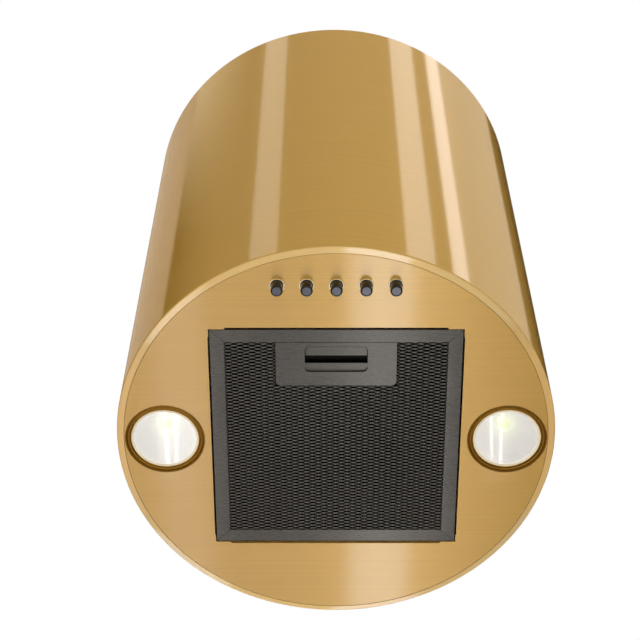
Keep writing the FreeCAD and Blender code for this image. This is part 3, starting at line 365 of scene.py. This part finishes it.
def make_paints():
    """Every material by name. The record's slots and the pieces here look them up."""
    side = (4, 1500, 900)  # grain that runs along X
    around = (3, 3, 1300)  # grain that runs round the tube
    paints = {
        # The casing, rim and panel are one brass finish. The rim's lighter, paler copy is a painted
        # highlight, and the panel's darker, cooler copy is tinted to stand in for the light that it
        # reflects.
        "casing_brass": brushed_brass("casing_brass", (0.92, 0.53, 0.085), around, "Z", 0.25),
        "rim_brass": brushed_brass("rim_brass", (1.0, 0.635, 0.19), around, "Z", 0.25),
        "panel_brass": brushed_brass("panel_brass", (0.86, 0.49, 0.105), side, "X", 0.0),
        "screw_brass": turned_metal("screw_brass", (0.66, 0.45, 0.2), 0.3, "Z"),
        "lamp_brass": turned_metal("lamp_brass", (0.28, 0.13, 0.016), 0.2, "Z", (1400, 1400, 40)),
        "collar_bright": turned_metal("collar_bright", (0.92, 0.78, 0.52), 0.2, "Z"),
        "plated_steel": sheet_metal("plated_steel", (0.56, 0.57, 0.58)),
        "fastener_zinc": sheet_metal("fastener_zinc", (0.66, 0.66, 0.62), 0.3, 0.02),
        "shaft_steel": turned_metal("shaft_steel", (0.52, 0.53, 0.55), 0.22, "X", (2600, 60, 60)),
        "motor_steel": sheet_metal("motor_steel", (0.48, 0.49, 0.50), 0.35, 0.03),
        "spring_steel": turned_metal("spring_steel", (0.5, 0.5, 0.5), 0.28, "Z"),
        "lamination": turned_metal("lamination", (0.16, 0.16, 0.18), 0.45, "X", (1900, 30, 30)),
        "sintered_bronze": sheet_metal("sintered_bronze", (0.42, 0.29, 0.15), 0.5, 0.1),
        "housing_plastic": moulded("housing_plastic", (0.20, 0.21, 0.22), 0.48),
        "impeller_plastic": moulded("impeller_plastic", (0.045, 0.045, 0.05), 0.42),
        "collar_plastic": moulded("collar_plastic", (0.05, 0.05, 0.055), 0.45),
        "damper_plastic": moulded("damper_plastic", (0.11, 0.11, 0.12), 0.5),
        "switch_plastic": moulded("switch_plastic", (0.035, 0.035, 0.04), 0.45),
        "device_white": moulded("device_white", (0.74, 0.74, 0.71), 0.42),
        "capacitor": moulded("capacitor", (0.62, 0.63, 0.64), 0.35),
        "filter_alu": anodised("filter_alu", ANODISED),
        # Painted shade: the layers deep in the filter are near black, much darker than the filter's own
        # dark anodising.
        "filter_deep": anodised("filter_deep", (0.006, 0.006, 0.006), 0.6),
        "shaded_finger_pull": shaded_finger_pull(),
        "lens_rim": moulded("lens_rim", (0.95, 0.80, 0.57), 0.35),
        "heatsink": anodised("heatsink", (0.03, 0.03, 0.033), 0.45),
        "lens_glass": clear_glass(),
        "reflector_white": satin_white(),
        "led_board": led_board(),
        "board_green": circuit_board(),
        "winding": copper_winding(),
        "rubber_black": soft_rubber(),
        "button_chrome": button_chrome(),
        "button_face": button_face(),
    }
    return {name: paint.material for name, paint in paints.items()}


# ---------------------------------------------------------------- mesh helpers
def rounded(profile):
    """(r, z, corner radius) points become plain (r, z) points, with an arc at each rounded corner."""
    steps = 5
    points, n = [], len(profile)
    for i, (r, z, radius) in enumerate(profile):
        here = Vector((r, z))
        if radius <= 0:
            points.append(here)
            continue
        back = (Vector(profile[i - 1][:2]) - here).normalized()
        on = (Vector(profile[(i + 1) % n][:2]) - here).normalized()
        half = back.angle(on) / 2
        reach = radius / math.tan(half)
        centre = here + (back + on).normalized() * (radius / math.sin(half))
        start, end = here + back * reach - centre, here + on * reach - centre
        swing = start.angle_signed(end)
        for k in range(steps + 1):
            turn = Matrix.Rotation(-swing * k / steps, 2)
            points.append(centre + turn @ start)
    return points


def sharpen(mesh, angle):
    """Smooth shading with sharp edges where faces meet at more than the angle."""
    for face in mesh.faces:
        face.smooth = True
    for edge in mesh.edges:
        edge.smooth = edge.calc_face_angle(0.0) < math.radians(angle)


def to_object(mesh, name, *materials, crease=32):
    """Makes an object of the mesh. Edges sharper than crease, in degrees, stay sharp."""
    bmesh.ops.recalc_face_normals(mesh, faces=mesh.faces)
    sharpen(mesh, crease)
    data = bpy.data.meshes.new(name)
    mesh.to_mesh(data)
    mesh.free()
    for material in materials:
        data.materials.append(material)
    made = bpy.data.objects.new(name, data)
    bpy.context.scene.collection.objects.link(made)
    keep_flats_flat(made)
    return made


def keep_flats_flat(piece):
    """Lets large faces set the normals, so that only the rounded edges shade as round."""
    even = piece.modifiers.new("even_normals", "WEIGHTED_NORMAL")
    even.mode = "FACE_AREA"
    even.weight = 100
    even.keep_sharp = True


def add_lathe(mesh, profile, x, y, segments, pick=None):
    """Adds a closed profile turned about a vertical axis. pick(r, z) gives a face's material number."""
    points = rounded(profile)
    turns = [2 * math.pi * k / segments for k in range(segments)]
    rings = []
    for p in points:
        if p.x < 1e-6:
            rings.append([mesh.verts.new((x * MM, y * MM, p.y * MM))])
            continue
        ring = []
        for turn in turns:
            spot = (x + p.x * math.cos(turn), y + p.x * math.sin(turn), p.y)
            ring.append(mesh.verts.new([value * MM for value in spot]))
        rings.append(ring)
    for i, ring in enumerate(rings):
        after = rings[(i + 1) % len(rings)]
        if len(ring) == 1 and len(after) == 1:
            continue
        middle = (points[i] + points[(i + 1) % len(points)]) / 2
        number = pick(middle.x, middle.y) if pick else 0
        for k in range(segments):
            j = (k + 1) % segments
            corners = [ring[k % len(ring)], ring[j % len(ring)]]
            corners += [after[j % len(after)], after[k % len(after)]]
            mesh.faces.new(list(dict.fromkeys(corners))).material_index = number


def cut(mesh, x, y, normal, drop_outer=False):
    """Splits the mesh along an upright plane, and can drop the side that the normal points to."""
    everything = mesh.verts[:] + mesh.edges[:] + mesh.faces[:]
    at = Vector((x * MM, y * MM, 0))
    bmesh.ops.bisect_plane(mesh, geom=everything, plane_co=at, plane_no=normal, clear_outer=drop_outer)


def expanded_sheet(mesh, z, pitch, slot, thick):
    """Expanded metal that fills the filter's frame: staggered six-sided slots between twisted strands.
    pitch is the spacing of the slots and slot is half the size of one, both along X and Y."""
    (pitch_x, pitch_y), (slot_x, slot_y) = pitch, slot
    low_y, high_y = FILTER_Y - SHEET_HALF_Y, FILTER_Y + SHEET_HALF_Y
    flat = pitch_x * 0.2
    tip = pitch_x - flat
    cell = [(tip, 0), (flat, pitch_y / 2), (-flat, pitch_y / 2), (-tip, 0)]
    cell += [(-flat, -pitch_y / 2), (flat, -pitch_y / 2)]
    hole = [(slot_x, 0), (slot_x * 0.5, slot_y), (-slot_x * 0.5, slot_y), (-slot_x, 0)]
    hole += [(-slot_x * 0.5, -slot_y), (slot_x * 0.5, -slot_y)]
    twist = thick * 0.35
    columns = int(SHEET_HALF_X / pitch_x) + 2
    rows = int((high_y - low_y) / pitch_y) + 3
    for i in range(-columns, columns + 1):
        for k in range(rows):
            cx = i * pitch_x
            cy = low_y + (k - 0.5 + 0.5 * (i % 2)) * pitch_y
            rim, edge, top_edge, top_rim = [], [], [], []
            for (ax, ay), (bx, by) in zip(cell, hole):
                lean = twist * (1 if by > 0 else -1 if by < 0 else 0)
                rim.append(mesh.verts.new(((cx + ax) * MM, (cy + ay) * MM, z * MM)))
                edge.append(mesh.verts.new(((cx + bx) * MM, (cy + by) * MM, (z + twist + lean) * MM)))
                top = z + thick
                top_edge.append(mesh.verts.new(((cx + bx) * MM, (cy + by) * MM, (top + lean) * MM)))
                top_rim.append(mesh.verts.new(((cx + ax) * MM, (cy + ay) * MM, top * MM)))
            for a, b in ((rim, edge), (edge, top_edge), (top_edge, top_rim)):
                for n in range(6):
                    m = (n + 1) % 6
                    mesh.faces.new((a[n], a[m], b[m], b[n]))
    bmesh.ops.remove_doubles(mesh, verts=mesh.verts, dist=0.00002)
    cut(mesh, SHEET_HALF_X, 0, (1, 0, 0), drop_outer=True)
    cut(mesh, -SHEET_HALF_X, 0, (-1, 0, 0), drop_outer=True)
    cut(mesh, 0, low_y, (0, -1, 0), drop_outer=True)
    cut(mesh, 0, high_y, (0, 1, 0), drop_outer=True)


def clear_handle(mesh, gap):
    """Cuts the space of the handle moulding out of a filter layer."""
    half, rear = HANDLE_HALF + gap, HANDLE_REAR_Y + gap
    cut(mesh, half, 0, (1, 0, 0))
    cut(mesh, -half, 0, (1, 0, 0))
    cut(mesh, 0, rear, (0, 1, 0))
    inside = []
    for face in mesh.faces:
        c = face.calc_center_median()
        if abs(c.x) < half * MM and c.y < rear * MM:
            inside.append(face)
    bmesh.ops.delete(mesh, geom=inside, context="FACES")


# ---------------------------------------------------------------- pieces that replace CAD nodes
def build_tube(paint):
    """The tube with its turned-in rim, whose inner edge comes close to the panel. That inner edge takes the
    dark lamp brass: painted shade, so that the seam to the panel reads as a dark gap.
    """
    slope = RIM_RISE / (TUBE_R - RIM_R)
    lift = math.hypot(1, slope)
    inner, top = TUBE_R - TUBE_WALL, -1.0
    bend = FACE_Z + RIM_RISE
    mesh = bmesh.new()
    add_lathe(
        mesh,
        [
            (TUBE_R, top, 0.25),
            (TUBE_R, bend, 1.6),
            (RIM_R, FACE_Z, 0.1),
            (RIM_R, FACE_Z + lift, 0.1),
            (inner, bend - slope + lift, 0.6),
            (inner, top, 0.25),
        ],
        0.0,
        0.0,
        360,
        # Faces of the rim's inner edge take the dark lamp brass as painted shade in the seam.
        lambda r, z: 2 if r < RIM_R + 0.02 else 1 if z < bend + 0.2 else 0,
    )
    tube = to_object(mesh, "tube_shell", paint["casing_brass"], paint["rim_brass"], paint["lamp_brass"])
    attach(tube, "hood")
    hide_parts("outer_tube")


def build_filter(paint):
    """The filter's visible slotted sheet, and the three coarser layers behind it, whose near-black paint is
    painted shade deep in the filter, over the filter's own dark finish.
    """
    mesh = bmesh.new()
    expanded_sheet(mesh, FILTER_Z + 0.82, pitch=(5.2, 3.4), slot=(3.6, 1.14), thick=0.42)
    clear_handle(mesh, 0.8)
    sheet = to_object(mesh, "expanded_mesh", paint["filter_alu"])
    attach(sheet, "filter")
    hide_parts("filter_mesh")
    mesh = bmesh.new()
    for rise in (2.2, 4.4, 6.6):
        layer = bmesh.new()
        expanded_sheet(layer, FILTER_Z + 0.8 + rise, pitch=(7.5, 5.2), slot=(5.2, 1.8), thick=0.4)
        clear_handle(layer, 0.5)
        data = bpy.data.meshes.new("layer")
        layer.to_mesh(data)
        layer.free()
        mesh.from_mesh(data)
        bpy.data.meshes.remove(data)
    core = to_object(mesh, "inner_mesh_layers", paint["filter_deep"])
    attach(core, "filter")
    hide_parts("filter_core")


def build_buttons(paint):
    """Five push buttons, numbered from the left, and the bright collars round them."""
    tip, flange = FACE_Z - 10.0, FACE_Z + PANEL_THICK + 1.3
    top = FACE_Z + PANEL_THICK + 33.8 - 8
    cap_r, side_r, flange_r, stem_r = 3.75, 5.2, 6.8, 2.2
    hole_r, collar_r, collar_out = 5.55, 5.9, 6.6
    for number, x in enumerate(BUTTON_XS, 1):
        mesh = bmesh.new()
        add_lathe(
            mesh,
            [
                (0, tip + 0.25, 0),
                (cap_r, tip + 0.25, 0),
                (3.95, tip + 0.05, 0.05),
                (4.3, tip, 0.15),
                (side_r, tip, 0.8),
                (side_r, flange, 0),
                (flange_r, flange, 0.2),
                (flange_r, flange + 2, 0.2),
                (stem_r, flange + 2, 0),
                (stem_r, top, 0.3),
                (0, top, 0),
            ],
            x,
            BUTTON_Y,
            64,
            lambda r, z: 1 if r < 3.9 and z < tip + 1 else 0,
        )
        name = "push_button_%d" % number
        button = to_object(mesh, "button_%d" % number, paint["button_chrome"], paint["button_face"])
        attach(button, "button_%d" % number)
        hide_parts(name)
    mesh = bmesh.new()
    for x in BUTTON_XS:
        add_lathe(
            mesh,
            [
                (hole_r, FACE_Z - 0.5, 0.1),
                (collar_out, FACE_Z - 0.5, 0.35),
                (collar_out, FACE_Z, 0),
                (collar_r, FACE_Z, 0),
                (collar_r, FACE_Z + 2.0, 0),
                (hole_r, FACE_Z + 2.0, 0),
            ],
            x,
            BUTTON_Y,
            64,
        )
    collars = to_object(mesh, "button_collars", paint["collar_bright"])
    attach(collars, "hood")
    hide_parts("button_bezels")


def cup_profile():
    """The reflector's rippled inside, from its mouth at the lens up to the LED, its outside from there
    back down, and the height of its mouth."""
    foot, top = FACE_Z + 4.4, FACE_Z + 26.0
    mouth, throat, wall = 27.8, 8.6, 0.8
    inside = []
    for k in range(13):
        s = k / 12
        ripple = 0.12 * math.sin(s * math.pi * 7) * (1 - s)
        inside.append((mouth - (mouth - throat) * s**1.7 - abs(ripple), foot + (top - foot) * s, 0))
    outside = [(r + wall, z, 0) for r, z, _ in reversed(inside)]
    return inside, outside, foot


def build_lamp(paint, side, s):
    """One lamp: its turned ring with a grooved bezel, the lens and the reflector's cup."""
    x = s * LAMP_X
    foot, top = FACE_Z + 1.4, FACE_Z + 27.6
    bezel_r, seat_r, sleeve_r, bore_r = 35.7, 34.7, 31.7, 30.2
    lens_r, clear_r = 30.1, 28.0
    mesh = bmesh.new()
    add_lathe(
        mesh,
        [
            (bezel_r, FACE_Z, 0),
            (bezel_r, FACE_Z - 0.6, 0.4),
            (34.6, FACE_Z - 0.6, 0.3),
            (33.3, FACE_Z + 1.6, 1.2),
            (31.7, FACE_Z + 1.6, 0.6),
            (30.8, FACE_Z + 0.9, 0.2),
            (bore_r, FACE_Z + 1.1, 0),
            (bore_r, top, 0),
            (sleeve_r, top, 0),
            (sleeve_r, FACE_Z + 8, 0.3),
            (seat_r, FACE_Z + 5, 0.3),
            (seat_r, FACE_Z, 0),
        ],
        x,
        LAMP_Y,
        160,
    )
    ring = to_object(mesh, "lamp_ring_" + side, paint["lamp_brass"])
    mesh = bmesh.new()
    add_lathe(
        mesh,
        [
            (0, foot, 0),
            (clear_r, foot, 0),
            (lens_r, foot - 0.6, 0.3),
            (lens_r, foot + 3, 0.2),
            (0, foot + 3, 0),
        ],
        x,
        LAMP_Y,
        128,
        lambda r, z: 1 if r > clear_r + 0.1 else 0,
    )
    lens = to_object(mesh, "lamp_glass_" + side, paint["lens_glass"], paint["lens_rim"], crease=6)
    inside, outside, cup_foot = cup_profile()
    lip = [(29.3, cup_foot + 0.8, 0), (30.0, cup_foot + 0.8, 0), (29.8, cup_foot, 0)]
    mesh = bmesh.new()
    add_lathe(mesh, inside + outside[:-1] + lip, x, LAMP_Y, 128)
    cup = to_object(mesh, "lamp_cup_" + side, paint["reflector_white"])
    for piece, node, slot in (
        (ring, "lamp_body_", "lamp_brass"),
        (lens, "lamp_lens_", "lens_glass"),
        (cup, "lamp_reflector_", "reflector_white"),
    ):
        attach(piece, "hood")
        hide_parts(node + side)


def dress_cad(paint):
    """Gives every CAD node that still shows its material, soft edges and smooth curves."""
    weld_gap, fine_edge, edge = 0.00001, 0.0001, 0.00025
    slots = {row["node"]: row["material_slot"] for row in frame["record"]["subparts"]}
    # The handle and latch take the shaded finger pull paint, with its painted shade in the slit and recess.
    slots["filter_handle"] = slots["filter_latch"] = "shaded_finger_pull"
    for name, node in nodes.items():
        node.data.materials.clear()
        node.data.materials.append(paint[slots[name]])
        for face in node.data.polygons:
            face.use_smooth = True
        weld = node.modifiers.new("weld", "WELD")
        weld.merge_threshold = weld_gap
        soft = node.modifiers.new("soft_edges", "BEVEL")
        soft.width = fine_edge if "screw" in name or "spring" in name else edge
        soft.segments = 2
        soft.limit_method = "ANGLE"
        soft.angle_limit = math.radians(40)
        keep_flats_flat(node)


# ---------------------------------------------------------------- studio
def glow(name):
    """Emission in the colour that each corner of the card carries."""
    made = bpy.data.materials.new(name)
    made.use_nodes = True
    tree = made.node_tree
    tree.nodes.remove(tree.nodes["Principled BSDF"])
    light = tree.nodes.new("ShaderNodeAttribute")
    light.attribute_name = "light"
    shine = tree.nodes.new("ShaderNodeEmission")
    tree.links.new(light.outputs["Color"], shine.inputs["Color"])
    tree.links.new(shine.outputs["Emission"], tree.nodes["Material Output"].inputs["Surface"])
    return made


def card(name, spot, across, up, corners, diffuse=True):
    """A studio card that only shows in reflections and as light. spot(s, t) places a point of it, and
    corners are its colours at the start and end of the lower edge, then of the upper edge."""
    mesh = bmesh.new()
    light = mesh.verts.layers.float_color.new("light")
    low_start, low_end, high_start, high_end = (Vector(c) for c in corners)
    grid = []
    for i in range(across + 1):
        column = []
        for k in range(up + 1):
            s, t = i / across, k / up
            vert = mesh.verts.new(spot(s, t))
            low = low_start.lerp(low_end, s)
            vert[light] = (*low.lerp(high_start.lerp(high_end, s), t), 1)
            column.append(vert)
        grid.append(column)
    for a, b in zip(grid, grid[1:]):
        for k in range(up):
            mesh.faces.new((a[k], b[k], b[k + 1], a[k + 1]))
    made = to_object(mesh, name, glow(name))
    made.visible_camera = False
    made.visible_shadow = False
    made.visible_diffuse = diffuse


def sky_card(name, start, end, low, high, *corners):
    """A piece of a dome far out. start and end are compass angles from the front towards +X."""
    far = 80.0

    def spot(s, t):
        turn, lift = math.radians(start + (end - start) * s), math.radians(low + (high - low) * t)
        return (
            far * math.cos(lift) * math.sin(turn),
            -far * math.cos(lift) * math.cos(turn),
            far * math.sin(lift),
        )

    if len(corners) == 1:
        corners *= 4
    across = max(2, int((end - start) / 4))
    card(name, spot, across, 8, corners)


def floor_card(name, x0, x1, start, end):
    """A strip just above the floor, in front of the hood's reflection, from x0 to x1."""
    y0, y1, z = 0.5, 2.6, -2.66

    def spot(s, t):
        return (x0 + (x1 - x0) * s, y1 + (y0 - y1) * t, z)

    card(name, spot, 4, 4, (start, end, start, end), diffuse=False)


def rim_card(name, start, end, near, far, light):
    """A patch of floor light, fan-shaped about the hood's foot, beyond what the panel reflects."""

    def spot(s, t):
        turn, reach = math.radians(start + (end - start) * s), near + (far - near) * t
        return (reach * math.sin(turn), 0.65 - reach * math.cos(turn), -2.65)

    card(name, spot, 8, 4, (light, light, light, light), diffuse=False)


def streak_card(name, far_x, far_width, near_x, near_width):
    """A bright sliver of light near the floor that shows in the lamps' glass alone."""
    far_y, near_y, z, light = 1.55, 1.37, -2.64, (5.0, 5.0, 5.0)

    def spot(s, t):
        x = far_x + (near_x - far_x) * t
        width = far_width + (near_width - far_width) * t
        return (x + width * (s - 0.5), far_y + (near_y - far_y) * t, z)

    card(name, spot, 1, 4, (light, light, light, light), diffuse=False)


def build_floor_glow():
    """A wide, cool lamp over the floor that no reflection shows."""
    spot, aim = Vector((0.0, 1.5, 2.0)), Vector((0.0, 1.2, -2.7))
    data = bpy.data.lights.new("floor_glow", "AREA")
    data.shape = "RECTANGLE"
    data.size = data.size_y = 5.0
    data.energy = 230
    data.color = (0.85, 0.9, 1.0)
    made = bpy.data.objects.new("floor_glow", data)
    made.location = spot
    made.rotation_euler = (aim - spot).to_track_quat("-Z", "Y").to_euler()
    made.visible_camera = False
    made.visible_glossy = False
    bpy.context.scene.collection.objects.link(made)


def build_floor():
    """A wide pale floor."""
    half_width, floor_z = 9.0, -2.7
    mesh = bmesh.new()
    bmesh.ops.create_grid(mesh, x_segments=40, y_segments=40, size=half_width)
    bmesh.ops.translate(mesh, verts=mesh.verts, vec=(0, 0, floor_z))
    paint = Paint("floor_paint", (0.86, 0.86, 0.85), 0.6)
    cloud = paint.noise((1.5, 1.5, 1.5), 4.0)
    paint.tint(cloud, (0.98, 0.98, 0.98), (1.0, 1.0, 1.0)).vary_rough(cloud, 0.05)
    floor = to_object(mesh, "floor", paint.material)


def build_world():
    """White where the camera sees it, and the dim warm room in every reflection."""
    world = bpy.data.worlds.new("studio")
    bpy.context.scene.world = world
    world.use_nodes = True
    tree = world.node_tree
    seen = tree.nodes.new("ShaderNodeBackground")
    seen.inputs["Color"].default_value = (1, 1, 1, 1)
    seen.inputs["Strength"].default_value = 1.0
    room = tree.nodes["Background"]
    room.inputs["Color"].default_value = (*ROOM, 1)
    room.inputs["Strength"].default_value = 1.0
    path = tree.nodes.new("ShaderNodeLightPath")
    mix = tree.nodes.new("ShaderNodeMixShader")
    tree.links.new(path.outputs["Is Camera Ray"], mix.inputs["Fac"])
    tree.links.new(room.outputs["Background"], mix.inputs[1])
    tree.links.new(seen.outputs["Background"], mix.inputs[2])
    tree.links.new(mix.outputs["Shader"], tree.nodes["World Output"].inputs["Surface"])


def build_sky():
    """The cards that the tube shows, at compass angles and heights in degrees."""
    low, high, top = 50, 73, 88
    sill, head = 58, 72
    dark = (0, 0, 0)
    sky_card("card_left_edge", -180, -158, low, high, (0.34, 0.27, 0.19))
    sky_card("card_left", -158, -110, low, high, (0.60, 0.46, 0.32))
    sky_card("card_left_dark", -110, -60, low, 62, dark, ROOM, dark, ROOM)
    sky_card("card_left_fade", -110, -60, 62, head, dark, ROOM, (1.8, 1.5, 1.0), ROOM)
    sky_card("card_pale", -49.5, -33, sill, head, (1.03, 0.98, 0.83))
    sky_card("card_pink", 41, 58.5, sill, head, (1.5, 1.4, 1.25))
    sky_card("card_narrow", 69.5, 80, sill, head, (2.25, 2.05, 1.85))
    start, end = (0.76, 0.70, 0.56), (0.61, 0.52, 0.39)
    sky_card("card_wide", 80, 132.5, low, high, start, end, start, end)
    sky_card("card_right_dark", 132.5, 180, 30, top, dark)
    back, left, middle, right = (1.2, 1.2, 1.2), (0.9, 0.8, 0.5), (2.3, 2.3, 2.3), (3.8, 3.8, 3.6)
    sky_card("above_left", -180, -108, high, top, back)
    sky_card("above_front_left", -108, -50, high, top, left, middle, left, middle)
    sky_card("above_front", -50, 50, high, top, middle, right, middle, right)
    sky_card("above_right", 50, 132.5, high, top, right)


def build_low_cards():
    """The cards below those, down to the horizon and under it."""
    floor, brow = 12, 48
    left, start, end, right = (0.03, 0.03, 0.02), (0.54, 0.52, 0.38), (0.74, 0.78, 0.72), (0.76, 0.78, 0.70)
    sky_card("low_left", -110, -50, 2, 50, left, start, left, start)
    sky_card("low_front", -50, 30, floor, brow, start, end, start, end)
    sky_card("low_right", 30, 118, floor, brow, end, right, end, right)
    sky_card("low_right_dark", 118, 180, -16, 50, (0, 0, 0))


def build_floor_cards():
    """The strips that the panel shows, the patches that the rim shows and the lenses' streaks."""
    plain, bright, lit = (0.50, 0.55, 0.65), (2.3, 2.5, 2.75), (1.2, 1.2, 1.3)
    shade, deep = (0.14, 0.18, 0.26), (0.10, 0.13, 0.20)
    floor_card("strip_far_left", -1.6, -0.41, plain, plain)
    floor_card("strip_left", -0.41, -0.29, lit, lit)
    floor_card("strip_middle", -0.29, 0.05, plain, plain)
    floor_card("strip_bright", 0.05, 0.193, bright, bright)
    floor_card("strip_right", 0.193, 0.47, (0.66, 0.70, 0.78), shade)
    floor_card("strip_far_right", 0.47, 1.6, deep, deep)
    rim_card("rim_front", 5, 34, 0.79, 0.95, (3.3, 3.6, 4.2))
    rim_card("rim_front_left", -90, -59, 1.0, 1.36, (2.5, 2.5, 2.6))
    rim_card("rim_rear_left", -164, -147, 3.1, 4.2, (2.2, 2.3, 2.5))
    rim_card("rim_right", 86, 142, 1.25, 3.0, (0.95, 0.80, 0.62))
    rim_card("rim_left", -142, -92, 1.3, 3.0, (1.25, 1.1, 1.0))
    rim_card("rim_rear", 167, 180, 4.3, 4.8, (3.0, 3.1, 3.6))
    streak_card("streak_left_outer", -0.383, 0.007, -0.3895, 0.002)
    streak_card("streak_left_inner", -0.3665, 0.004, -0.3595, 0.004)
    streak_card("streak_right_inner", 0.390, 0.004, 0.381, 0.004)
    streak_card("streak_right_outer", 0.409, 0.007, 0.406, 0.003)


def build_studio():
    """The floor, the room, every card, and the lamp over the floor."""
    build_floor()
    build_world()
    build_sky()
    build_low_cards()
    build_floor_cards()
    build_floor_glow()


def build_camera():
    """Looks up at the hood from below and in front."""
    lift, yaw, roll = (math.radians(a) for a in (59.783, -0.332, 0.278))
    spot, lens = (-0.00965, -0.87312, -1.7908), 97.93
    ahead = Vector((math.sin(yaw) * math.cos(lift), math.cos(yaw) * math.cos(lift), math.sin(lift)))
    level = Vector((math.cos(yaw), -math.sin(yaw), 0))
    above = level.cross(ahead)
    right = math.cos(roll) * level + math.sin(roll) * above
    up = math.cos(roll) * above - math.sin(roll) * level
    data = bpy.data.cameras.new("camera")
    data.sensor_width = 36.0
    data.lens = lens
    data.clip_end = 100
    made = bpy.data.objects.new("camera", data)
    turn = Matrix((right, up, -ahead)).transposed().to_4x4()
    made.matrix_world = Matrix.Translation(spot) @ turn
    bpy.context.scene.collection.objects.link(made)
    bpy.context.scene.camera = made


def main():
    """Builds the pieces, dresses the CAD, and sets the studio and the camera."""
    paint = make_paints()
    build_tube(paint)
    build_filter(paint)
    build_buttons(paint)
    for side, s in (("left", -1), ("right", 1)):
        build_lamp(paint, side, s)
    dress_cad(paint)
    build_studio()
    build_camera()
    bpy.context.scene.view_settings.view_transform = "Standard"


main()
